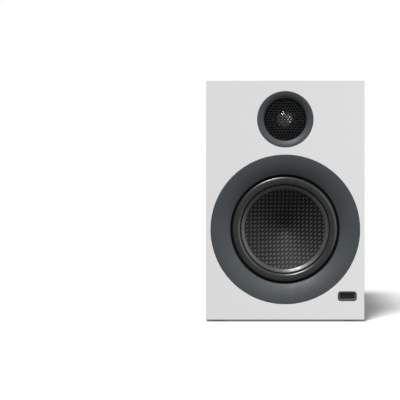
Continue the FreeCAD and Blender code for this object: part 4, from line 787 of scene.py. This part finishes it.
def ring_points(outer, opening, dish, count):
    """A flared ring's face, level with the baffle outside and dished towards its opening."""
    run = outer - opening
    curve = circle_radius(run, dish)
    points = []
    for index in range(count + 1):
        inward = run * index / count
        points.append((outer - inward, curve - math.sqrt(curve**2 - inward**2)))
    return points


class SPEAKER_OT_woofer_ring(bpy.types.Operator):
    """Build the dished ring round the woofer"""

    bl_idname = "speaker.woofer_ring"
    bl_label = "Woofer ring"

    def execute(self, context):
        face = ring_points(RING_RADIUS, RING_OPENING, RING_DISH, 28)
        rounding = {0: RING_EDGE, len(face) - 1: RING_LIP}
        bm = turned(face + RING_BACK, WOOFER_AXIS, rounding, steps=192)
        for degrees in (45, 135, 225, 315):
            angle = math.radians(degrees)
            x, z = PEG_CIRCLE * math.cos(angle), PEG_CIRCLE * math.sin(angle)
            start, end = FRONT + PEG_START, FRONT + PEG_END
            add_rod(bm, x, WOOFER.z + z, PEG_RADIUS, start, end, 24)
        new_piece("woofer_ring", bm, "slate_plastic", ["woofer_trim_ring"], sharp=50)
        return {"FINISHED"}


# The roll's crest and edges, as a radius and a depth.
CREST = (0.0549, 0.0056)
ROLL_OUTER = (0.0592, 0.0082)
ROLL_INNER = (0.0502, 0.0092)
ROLL_WALL = 0.0008
ROLL_STEPS = 16
ROLL_FULLNESS = 0.8
ROLL_CORNER = 0.0003
OUTER_FLANGE = [(0.0649, 0.0082), (0.0649, 0.0090), (0.0584, 0.0090)]
INNER_FLANGE = [
    (0.0490, 0.0102),
    (0.04695, 0.01148),
    (0.04695, 0.01228),
    (0.0490, 0.0110),
    (0.0512, 0.0110),
]
# A ring over the gap between the roll and the trim ring, finished near black: partly a gasket,
# partly painted shade.
GASKET_AND_SHADE = [(0.0593, 0.00805), (0.0616, 0.00785), (0.0616, 0.0082), (0.0593, 0.0082)]


def roll_half(edge, flange):
    """Half of the roll with its flange: its outer face from the crest to its edge, and back
    along its inner face. The roll is a little fuller than a half ellipse."""
    skin, lining = [], []
    width, height = edge[0] - CREST[0], CREST[1] - edge[1]
    wall = math.copysign(ROLL_WALL, width)
    for index in range(ROLL_STEPS + 1):
        angle = math.radians(90.0 * index / ROLL_STEPS)
        across = math.sin(angle) ** ROLL_FULLNESS
        up = max(math.cos(angle), 0.0) ** ROLL_FULLNESS
        skin.append((CREST[0] + width * across, edge[1] + height * up))
        lining.append((CREST[0] + (width - wall) * across, edge[1] + (height + ROLL_WALL) * up))
    return turned(skin + flange + lining[::-1], WOOFER_AXIS, {ROLL_STEPS: ROLL_CORNER}, steps=160)


class SPEAKER_OT_surround(bpy.types.Operator):
    """Build the woofer's rubber surround; its inner half is attached to no body"""

    bl_idname = "speaker.surround"
    bl_label = "Woofer surround"

    def execute(self, context):
        node = ["woofer_surround"]
        outer = roll_half(ROLL_OUTER, OUTER_FLANGE)
        new_piece("surround_outer", outer, "surround_rubber", node, sharp=60)
        # The gasket fills the gap between the roll and the trim ring. Its near-black, nearly matte
        # finish is partly a real gasket and partly painted shade for the dark gap there.
        gasket = turned(GASKET_AND_SHADE, WOOFER_AXIS)
        new_piece("surround_gasket", gasket, "seal_rubber", node, slot="surround_rubber")
        bm = roll_half(ROLL_INNER, INNER_FLANGE)
        inner = new_piece("surround_inner", bm, "surround_rubber", node, body=None, sharp=60)
        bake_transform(inner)
        return {"FINISHED"}


# The cone is straight outside its edge, flared inside it, and round at its nose.
CONE_RIM = 0.0490
CONE_EDGE = 0.0449
CONE_RIM_DEPTH = 0.0090
EDGE_SLOPE = math.radians(32.0)
NOSE_SLOPE = math.radians(24.0)
NOSE = 0.0070
# The rim's section: a radius, and how far it lies behind the cone's face.
RIM_SECTION = (
    (0.0451, 0.0002),
    (0.0455, -0.0004),
    (0.0492, -0.0004),
    (0.0497, 0.0004),
    (0.0489, 0.0010),
    (0.0451, 0.0010),
)
RIM_ROUNDING = {1: 0.0003, 2: 0.0004, 3: 0.0002}
# How far the weave's grid is moved from the cone's axis, to the right and up.
WEAVE_START = (0.0007, 0.0006)
WEAVE_RADIUS = 0.0454
WEAVE_THICKNESS = 0.0007
WEAVE_STEPS = 10
WEAVE_LEAN = 0.85
CROWN_FULLNESS = 0.5
LEAN_SHARPNESS = 1.3
CONE_PLACE = {"stands_for": ["woofer_cone"], "body": "woofer_moving_assembly"}


def cone_depth(radius):
    """Depth of the cone's face at a distance from its axis."""
    flare = (CONE_EDGE - NOSE) / (math.sin(EDGE_SLOPE) - math.sin(NOSE_SLOPE))
    edge_depth = CONE_RIM_DEPTH + (CONE_RIM - CONE_EDGE) * math.tan(EDGE_SLOPE)
    if radius > CONE_EDGE:
        return CONE_RIM_DEPTH + (CONE_RIM - radius) * math.tan(EDGE_SLOPE)
    if radius > NOSE:
        slope = math.asin(math.sin(NOSE_SLOPE) + (radius - NOSE) / flare)
        return edge_depth + flare * (math.cos(slope) - math.cos(EDGE_SLOPE))
    tip = NOSE / math.sin(NOSE_SLOPE)
    nose_depth = edge_depth + flare * (math.cos(NOSE_SLOPE) - math.cos(EDGE_SLOPE))
    return nose_depth + math.sqrt(tip * tip - radius * radius) - tip * math.cos(NOSE_SLOPE)


def woven(x, z, pitch):
    """Height of the weave at a point, from 0 in the gaps to 1 on the crowns, and whether the
    upper strand there runs across. Each crown leans to the right, as strands under tension
    do."""
    column, row = math.floor(x / pitch), math.floor(z / pitch)
    x_off, z_off = x / pitch - column - 0.5, z / pitch - row - 0.5
    crown = max(math.cos(math.pi * x_off) * math.cos(math.pi * z_off), 0.0) ** CROWN_FULLNESS
    crown *= max(math.cos(math.pi * WEAVE_LEAN * (x_off - z_off)), 0.0) ** LEAN_SHARPNESS
    return crown, float((column + row) % 2)


class SPEAKER_OT_cone(bpy.types.Operator):
    """Build the woven cone and its smooth rim"""

    bl_idname = "speaker.cone"
    bl_label = "Woofer cone"

    def execute(self, context):
        sizes = settings()[0]
        self.weave(sizes.weave_pitch, sizes.weave_height)
        rim = [(radius, cone_depth(radius) + behind) for radius, behind in RIM_SECTION]
        bm = turned(rim, WOOFER_AXIS, RIM_ROUNDING, steps=160)
        new_piece("cone_rim", bm, "cone_rim", sharp=60, slot="woven_fibre", **CONE_PLACE)
        return {"FINISHED"}

    def weave(self, pitch, height):
        """A sheet of real strands over the cone's shape, with its thickness behind."""
        cells = 2 * math.ceil(WEAVE_RADIUS / pitch + 0.5)
        steps = cells * WEAVE_STEPS
        bm = bmesh.new()
        bmesh.ops.create_grid(bm, x_segments=steps, y_segments=steps, size=cells * pitch / 2)
        strand = bm.verts.layers.float.new("strand")
        crown = bm.verts.layers.float.new("crown")
        for vert in bm.verts:
            rise, across = woven(vert.co.x, vert.co.y, pitch)
            x, z = vert.co.x + WEAVE_START[0], vert.co.y + WEAVE_START[1]
            depth = cone_depth(math.hypot(x, z)) + (1.0 - rise) * height
            vert[strand] = across
            vert[crown] = rise
            vert.co = (x, FRONT + depth, WOOFER.z + z)
        outside = [v for v in bm.verts if math.hypot(v.co.x, v.co.z - WOOFER.z) > WEAVE_RADIUS]
        bmesh.ops.delete(bm, geom=outside, context="VERTS")
        bmesh.ops.recalc_face_normals(bm, faces=bm.faces)
        if sum(f.normal.y for f in bm.faces) > 0:
            bmesh.ops.reverse_faces(bm, faces=bm.faces)
        bmesh.ops.solidify(bm, geom=bm.faces[:], thickness=WEAVE_THICKNESS)
        new_piece("cone_weave", bm, "woven_fibre", sharp=75, **CONE_PLACE)


# --- Tweeter ---
TWEETER_RING_RADIUS = 0.0315
TWEETER_OPENING = 0.0239
TWEETER_DISH = 0.0032
TWEETER_BACK = [
    (TWEETER_OPENING, 0.0034),
    (0.02545, 0.0034),
    (0.02545, 0.0042),
    (TWEETER_RING_RADIUS, 0.0042),
]
GRILLE_BEVEL = 0.00018
# A ring round the mesh inside the tweeter's ring, finished near black: partly a seal, partly
# painted shade.
GRILLE_SEAL_AND_SHADE = [(0.0223, 0.0033), (0.02385, 0.0029), (0.02385, 0.0034), (0.0223, 0.0034)]
THROAT_INNER = (0.01515, 0.0142)
THROAT_OUTER = (TWEETER_OPENING, 0.0042)
THROAT_SAG = 0.0012
THROAT_BACK = [
    THROAT_OUTER,
    (0.0300, 0.0042),
    (0.0300, 0.0072),
    (0.0252, 0.0072),
    (0.0252, 0.01765),
    (0.0226, 0.01765),
    (0.0226, 0.0148),
    (THROAT_INNER[0], 0.0148),
]
DOME_RADIUS = 0.0125
DOME_RISE = 0.0053
DOME_TIP = 0.0095
DOME_WALL = 0.00035
DOME_TAPER = 0.972
DOME_STEPS = 16
DOME_LIP = [(0.01275, 0.0148), (0.01275, 0.0151)]
# The small roll: an arc in front, the flange, an arc behind, and the inner edge. Each arc has
# its ends, its sag and its steps.
SOFT_ROLL_FRONT = ((0.0128, 0.0148), (0.0150, 0.0148), -0.0009, 10)
SOFT_ROLL_FLANGE = [(0.0204, 0.0148), (0.0204, 0.01515)]
SOFT_ROLL_BACK = ((0.01465, 0.01515), (0.01315, 0.01515), 0.00085, 8)
SOFT_ROLL_EDGE = (0.0128, 0.01515)


class SPEAKER_OT_tweeter(bpy.types.Operator):
    """Build the tweeter's ring, grille, throat and dome"""

    bl_idname = "speaker.tweeter"
    bl_label = "Tweeter"

    def execute(self, context):
        face = ring_points(TWEETER_RING_RADIUS, TWEETER_OPENING, TWEETER_DISH, 18)
        rounding = {0: RING_EDGE, len(face) - 1: RING_EDGE}
        bm = turned(face + TWEETER_BACK, TWEETER_AXIS, rounding)
        new_piece("tweeter_ring", bm, "slate_plastic", ["tweeter_trim_ring"], sharp=50)
        bm = refined("tweeter_grille", GRILLE_BEVEL)
        new_piece("tweeter_mesh", bm, "grille_steel", ["tweeter_grille"])
        # A near-black matte ring lies round the mesh inside the ring: partly a seal, partly painted
        # shade for the dark gap there.
        bm = turned(GRILLE_SEAL_AND_SHADE, TWEETER_AXIS, steps=96)
        new_piece("tweeter_seal", bm, "seal_rubber", slot="black_plastic", sharp=50)
        flare = arc(THROAT_INNER, THROAT_OUTER, THROAT_SAG, 12)[:-1]
        bm = turned(THROAT_BACK + flare, TWEETER_AXIS, steps=96)
        slot = "black_plastic"
        new_piece("tweeter_throat", bm, "throat_plastic", ["tweeter_chassis"], slot=slot, sharp=50)
        self.dome()
        self.soft_roll()
        return {"FINISHED"}

    def dome(self):
        curve = circle_radius(DOME_RADIUS, DOME_RISE)
        outer = []
        for index in range(DOME_STEPS + 1):
            r = DOME_RADIUS * index / DOME_STEPS
            outer.append((r, DOME_TIP + curve - math.sqrt(curve**2 - r**2)))
        inner = [(r * DOME_TAPER, t + DOME_WALL) for r, t in outer]
        bm = turned(outer + DOME_LIP + inner[::-1], TWEETER_AXIS, closed=False, steps=96)
        body = "tweeter_moving_assembly"
        new_piece("dome", bm, "dome_metal", ["tweeter_dome"], body, sharp=60)

    def soft_roll(self):
        points = arc(*SOFT_ROLL_FRONT) + SOFT_ROLL_FLANGE + arc(*SOFT_ROLL_BACK)
        points.append(SOFT_ROLL_EDGE)
        bm = turned(points, TWEETER_AXIS, steps=96)
        node, slot = ["tweeter_dome_surround"], "surround_rubber"
        new_piece("dome_roll", bm, "soft_roll", node, slot=slot, sharp=60)


# --- Status window ---
LENS_BEVEL = 0.0006


class SPEAKER_OT_status_window(bpy.types.Operator):
    """Build the status window's bezel and dark lens"""

    bl_idname = "speaker.status_window"
    bl_label = "Status window"

    def execute(self, context):
        bm = copy_of("status_window_bezel")
        rim = [e for e in sharp_edges(bm) if max(v.co.y for v in e.verts) < FRONT + 1e-5]
        bevel(bm, rim, FINE_BEVEL)
        node = ["status_window_bezel"]
        new_piece("window_bezel", bm, "bezel_plastic", node, flat_large=True)
        bm = refined("status_window_lens", LENS_BEVEL, 4)
        new_piece("window_lens", bm, "window_plastic", ["status_window_lens"])
        return {"FINISHED"}


# --- Rear ---
PORT_BORE = 0.0200
PORT_FLARE = 0.0090
PORT_LIP = 0.0015
PORT_STEPS = 16
PORT_MOUTH_EDGE = 0.0006
PORT_END_EDGE = 0.0008
# The port's outside, as a radius and a distance behind the rear face.
PORT_OUTSIDE = [
    (0.0330, PORT_LIP),
    (0.0330, 0.0),
    (0.0290, 0.0),
    (0.0290, -0.0100),
    (0.0220, -0.0120),
    (0.0220, -0.1000),
    (PORT_BORE, -0.1000),
]


class SPEAKER_OT_port(bpy.types.Operator):
    """Build the flared reflex port"""

    bl_idname = "speaker.port"
    bl_label = "Reflex port"

    def execute(self, context):
        points = []
        for index in range(PORT_STEPS + 1):
            angle = math.radians(90.0 * index / PORT_STEPS)
            r = PORT_BORE + PORT_FLARE * (1 - math.cos(angle))
            points.append((r, PORT_LIP - PORT_FLARE * (1 - math.sin(angle))))
        points += PORT_OUTSIDE
        rounding = {PORT_STEPS + 1: PORT_MOUTH_EDGE, len(points) - 1: PORT_END_EDGE}
        bm = turned(points, (0, REAR, PORT.z), rounding)
        new_piece("port_tube", bm, "black_plastic", ["reflex_port"], sharp=50)
        return {"FINISHED"}


# Half the thickness of the ink, the gap to the piece beside a mark, and the marks' sizes.
INK = 0.00003
MARK_GAP = 0.0032
LINE = 0.0005
BOLD_LINE = 0.0006
SIGN = 0.0034
LONG_MARK = 0.0030
SHORT_MARK = 0.0018
CIRCLE = (0.0010, 0.0015)
TICKS = 11
TICK_SWEEP = 300.0


def add_bar(bm, x, face, z, width, height):
    """Adds a printed bar on the plate's face, and returns its vertices."""
    low = (x - width / 2, face - INK, z - height / 2)
    return add_box(bm, low, (x + width / 2, face + INK, z + height / 2))


class SPEAKER_OT_plate(bpy.types.Operator):
    """Build the amplifier plate, its screws and its marks"""

    bl_idname = "speaker.plate"
    bl_label = "Amplifier plate"

    def execute(self, context):
        refined_piece("rear_plate", "amplifier_plate", "plate_metal")
        screws = "amplifier_plate_screws"
        refined_piece("plate_screws", screws, "screw_black", width=TINY_BEVEL)
        self.marks()
        return {"FINISHED"}

    def marks(self):
        """Printed marks: a bar and a ring over and under the switch, plus and minus by the
        posts, and ticks round the volume knob."""
        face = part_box("amplifier_plate")[1].y
        switch = middle("power_switch_body")
        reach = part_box("power_switch_body")[1].z - switch.z + MARK_GAP
        inner, outer = CIRCLE
        section = [(inner, -INK), (outer, -INK), (outer, INK), (inner, INK)]
        bm = turned(section, (switch.x, face, switch.z - reach), steps=48)
        add_bar(bm, switch.x, face, switch.z + reach, LINE, LONG_MARK)
        over_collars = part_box("post_collars")[1].z + MARK_GAP
        plus, minus = middle("positive_post_washer").x, middle("negative_post_washer").x
        for x, width, height in (
            (plus, SIGN, BOLD_LINE),
            (plus, BOLD_LINE, SIGN),
            (minus, SIGN, BOLD_LINE),
        ):
            add_bar(bm, x, face, over_collars, width, height)
        knob = middle("volume_knob")
        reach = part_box("volume_knob")[1].z - knob.z + MARK_GAP
        for index in range(TICKS):
            turn = math.radians(TICK_SWEEP * (index / (TICKS - 1) - 0.5))
            height = LONG_MARK if index in (0, TICKS // 2, TICKS - 1) else SHORT_MARK
            tick = add_bar(bm, knob.x, face, knob.z + reach, LINE, height)
            bmesh.ops.rotate(bm, verts=tick, cent=knob, matrix=Matrix.Rotation(turn, 3, "Y"))
        new_piece("printed_marks", bm, "white_ink", slot="jack_white")


class SPEAKER_OT_controls(bpy.types.Operator):
    """Build the volume knob, source button and power switch"""

    bl_idname = "speaker.controls"
    bl_label = "Controls"

    def execute(self, context):
        volume, fine = "volume_knob_and_shaft", FINE_BEVEL
        refined_piece("knob", "volume_knob", "black_plastic", volume, fine)
        refined_piece("knob_shaft", "volume_shaft", "plated_steel", volume, fine)
        refined_piece("control_bush", "volume_control", "nickel", width=fine)
        refined_piece("button", "source_button", "black_plastic", "source_button", fine)
        refined_piece("rocker", "power_rocker", "gloss_black", "power_rocker")
        refined_piece("switch_frame", "power_switch_body", "black_plastic")
        return {"FINISHED"}


class SPEAKER_OT_sockets(bpy.types.Operator):
    """Build the mains inlet, the line inputs and the small socket"""

    bl_idname = "speaker.sockets"
    bl_label = "Sockets"

    def execute(self, context):
        refined_piece("inlet_housing", "mains_inlet", "black_plastic")
        refined_piece("inlet_pins", "mains_inlet_pins", "nickel", width=SOFT_BEVEL)
        refined_piece("line_shells", "line_jack_shells", "nickel", width=FINE_BEVEL)
        refined_piece("small_socket", "aux_jack", "black_plastic", width=FINE_BEVEL)
        self.line_core("line_core_white", -1, "jack_white")
        self.line_core("line_core_red", 1, "red_plastic")
        return {"FINISHED"}

    def line_core(self, name, side, material):
        """The core of one line socket, split from the pair."""
        node = "line_jack_insulators"
        bm = copy_of(node)
        far = [v for v in bm.verts if (v.co.x - middle(node).x) * side < 0]
        bmesh.ops.delete(bm, geom=far, context="VERTS")
        bevel(bm, sharp_edges(bm), TINY_BEVEL)
        new_piece(name, bm, material, [node], slot="jack_white")


class SPEAKER_OT_posts(bpy.types.Operator):
    """Build the binding posts with their collars, washers and caps"""

    bl_idname = "speaker.posts"
    bl_label = "Binding posts"

    def execute(self, context):
        refined_piece("collars", "post_collars", "black_plastic", width=SOFT_BEVEL)
        refined_piece("post_rods", "binding_posts", "nickel", width=FINE_BEVEL)
        for side, plastic in (("positive", "red_plastic"), ("negative", "gloss_black")):
            washer, cap = side + "_washer", side + "_cap"
            node = side + "_post_washer"
            refined_piece(washer + "_disc", node, "nickel", washer, TINY_BEVEL)
            refined_piece(cap + "_grip", side + "_post_cap", plastic, cap, FINE_BEVEL)
        return {"FINISHED"}


# --- Inner works ---
INNER_FINISHES = {
    "raw_fibreboard": ["window_brace"],
    "wadding": ["damping_pads"],
    "driver_steel": ["woofer_basket"],
    "coil_former": ["woofer_coil_former"],
    "copper_wire": ["woofer_voice_coil", "tweeter_voice_coil"],
    "spider_cloth": ["woofer_spider"],
    "plated_steel": ["woofer_top_plate", "woofer_yoke", "tweeter_top_plate", "tweeter_yoke"],
    "magnet_ferrite": ["woofer_magnet", "tweeter_magnet"],
    "screw_black": ["woofer_screws", "tweeter_screws"],
    "black_plastic": ["driver_terminals"],
    "cable_jacket": ["driver_cables"],
    "board_green": ["status_light_board", "source_switch", "amplifier_board"],
    "sink_aluminium": ["heat_sink"],
    "transformer_iron": ["power_transformer"],
    "can_sleeve": ["board_capacitors"],
}


class SPEAKER_OT_inner_works(bpy.types.Operator):
    """Give every piece inside the cabinet its finish"""

    bl_idname = "speaker.inner_works"
    bl_label = "Inner works"

    def execute(self, context):
        for material, nodes in INNER_FINISHES.items():
            for node in nodes:
                mesh = frame["nodes"][node].data
                mesh.materials.clear()
                mesh.materials.append(finish(material))
        return {"FINISHED"}


# --- Stage ---
def aim(obj, target):
    direction = Vector(target) - obj.location
    obj.rotation_euler = direction.to_track_quat("-Z", "Y").to_euler()


def soft_light(name, target, place, size, power):
    data = bpy.data.lights.new(name, "AREA")
    data.size = size
    data.energy = power
    light = placed(name, data)
    light.location = place
    aim(light, target)
    return light


# The key light's angles are in degrees.
KEY_POWER = 3.5
KEY_SOFTNESS = 15.0
KEY_HEIGHT = 58.0
KEY_SIDE = 22.0
FILL = 0.23
SIDE_LIGHT = {"place": (1.25, -1.0, 0.45), "size": 1.6, "power": 10.0}
REAR_LIGHT = {"place": (-1.0, 1.9, 1.1), "size": 1.4, "power": 26.0}
FLOOR_SIZE = 6.0
CAMERA_LENS = 118.6
CAMERA_DISTANCE = 1.481
CAMERA_LEFT = 0.088
CAMERA_HEIGHT = 0.169
# How far left of the speaker's middle the picture's own middle lies.
PICTURE_LEFT = 0.0959


class SPEAKER_OT_stage(bpy.types.Operator):
    """Set up the floor, the lights, the world and the camera"""

    bl_idname = "speaker.stage"
    bl_label = "Studio"

    def execute(self, context):
        self.floor()
        centre = (0.0, 0.0, (BOTTOM + TOP) / 2)
        self.key_light()
        self.side_lights(centre)
        self.world(context.scene)
        context.scene.view_settings.view_transform = "Standard"
        self.camera(context.scene)
        return {"FINISHED"}

    def key_light(self):
        """High, in front and a little to the left, so that the shadow falls back and right."""
        data = bpy.data.lights.new("key", "SUN")
        data.energy = KEY_POWER
        data.angle = math.radians(KEY_SOFTNESS)
        key = placed("key", data)
        height, side = math.radians(KEY_HEIGHT), math.radians(KEY_SIDE)
        key.location = (
            -math.cos(height) * math.sin(side),
            -math.cos(height) * math.cos(side),
            math.sin(height),
        )
        aim(key, (0.0, 0.0, 0.0))

    def side_lights(self, centre):
        """Light the speaker's right side and its back, but not the floor, which keeps its
        shadow."""
        speaker = bpy.data.collections.new("speaker")
        for obj in bpy.context.scene.objects:
            if obj.type == "MESH" and obj.name != "floor":
                speaker.objects.link(obj)
        for name, values in (("side", SIDE_LIGHT), ("rear", REAR_LIGHT)):
            light = soft_light(name, centre, **values)
            light.light_linking.receiver_collection = speaker

    def world(self, scene):
        """A white backdrop that lights the object less than it shows."""
        world = bpy.data.worlds.new("studio")
        world.use_nodes = True
        tree = world.node_tree
        shown = tree.nodes["Background"]
        light = tree.nodes.new("ShaderNodeBackground")
        for background, strength in ((shown, 1.0), (light, FILL)):
            background.inputs["Color"].default_value = (1.0, 1.0, 1.0, 1.0)
            background.inputs["Strength"].default_value = strength
        mix = tree.nodes.new("ShaderNodeMixShader")
        path = tree.nodes.new("ShaderNodeLightPath")
        tree.links.new(path.outputs["Is Camera Ray"], mix.inputs["Fac"])
        tree.links.new(light.outputs["Background"], mix.inputs[1])
        tree.links.new(shown.outputs["Background"], mix.inputs[2])
        tree.links.new(mix.outputs["Shader"], tree.nodes["World Output"].inputs["Surface"])
        scene.world = world

    def floor(self):
        bm = bmesh.new()
        bmesh.ops.create_grid(bm, x_segments=1, y_segments=1, size=FLOOR_SIZE)
        floor = placed("floor", mesh_of(bm, "floor"))
        made = Finish("pale_floor", Specular_IOR_Level=0.2)
        made.shades(made.noise(2.0, 2.0), (0.95, 0.95, 0.95), 0.006)
        made.roughness(made.noise(9.0, 3.0), 0.55, 0.65)
        floor.data.materials.append(made.material)
        floor.visible_diffuse = False
        floor.visible_glossy = False

    def camera(self, scene):
        """Square to the front, in line with its left edge and above its middle. The lens is
        shifted a little, so that the front stays upright and lies as far right as it should."""
        data = bpy.data.cameras.new("camera")
        data.lens = CAMERA_LENS
        data.clip_start, data.clip_end = 0.05, 50.0
        drop = CAMERA_HEIGHT - (BOTTOM + TOP) / 2
        across = CAMERA_LENS / CAMERA_DISTANCE / data.sensor_width
        data.shift_x = (CAMERA_LEFT - PICTURE_LEFT) * across
        data.shift_y = -drop * across
        camera = placed("camera", data)
        camera.location = (-CAMERA_LEFT, FRONT - CAMERA_DISTANCE, CAMERA_HEIGHT)
        camera.rotation_euler = (math.radians(90.0), 0.0, 0.0)
        scene.camera = camera


# --- Panel and registration ---
OPERATORS = (
    SPEAKER_OT_cabinet,
    SPEAKER_OT_woofer_ring,
    SPEAKER_OT_surround,
    SPEAKER_OT_cone,
    SPEAKER_OT_tweeter,
    SPEAKER_OT_status_window,
    SPEAKER_OT_port,
    SPEAKER_OT_plate,
    SPEAKER_OT_controls,
    SPEAKER_OT_sockets,
    SPEAKER_OT_posts,
    SPEAKER_OT_inner_works,
    SPEAKER_OT_stage,
)


class SPEAKER_PT_panel(bpy.types.Panel):
    """Lists the speaker's settings and pieces"""

    bl_idname = "SPEAKER_PT_panel"
    bl_label = "Bookshelf Speaker"
    bl_space_type = "VIEW_3D"
    bl_region_type = "UI"
    bl_category = "Speaker"

    def draw(self, context):
        for group in (context.scene.speaker_sizes, context.scene.speaker_finish):
            for name in group.bl_rna.properties.keys():
                if name not in {"rna_type", "name"}:
                    self.layout.prop(group, name)
        for operator in OPERATORS:
            self.layout.operator(operator.bl_idname)


CLASSES = (SpeakerSizes, SpeakerFinish, *OPERATORS, SPEAKER_PT_panel)


def register():
    for cls in CLASSES:
        bpy.utils.register_class(cls)
    bpy.types.Scene.speaker_sizes = bpy.props.PointerProperty(type=SpeakerSizes)
    bpy.types.Scene.speaker_finish = bpy.props.PointerProperty(type=SpeakerFinish)


def unregister():
    del bpy.types.Scene.speaker_finish
    del bpy.types.Scene.speaker_sizes
    for cls in reversed(CLASSES):
        bpy.utils.unregister_class(cls)


def main():
    register()
    for operator in OPERATORS:
        getattr(bpy.ops.speaker, operator.bl_idname.partition(".")[2])()


if __name__ == "__main__":
    main()
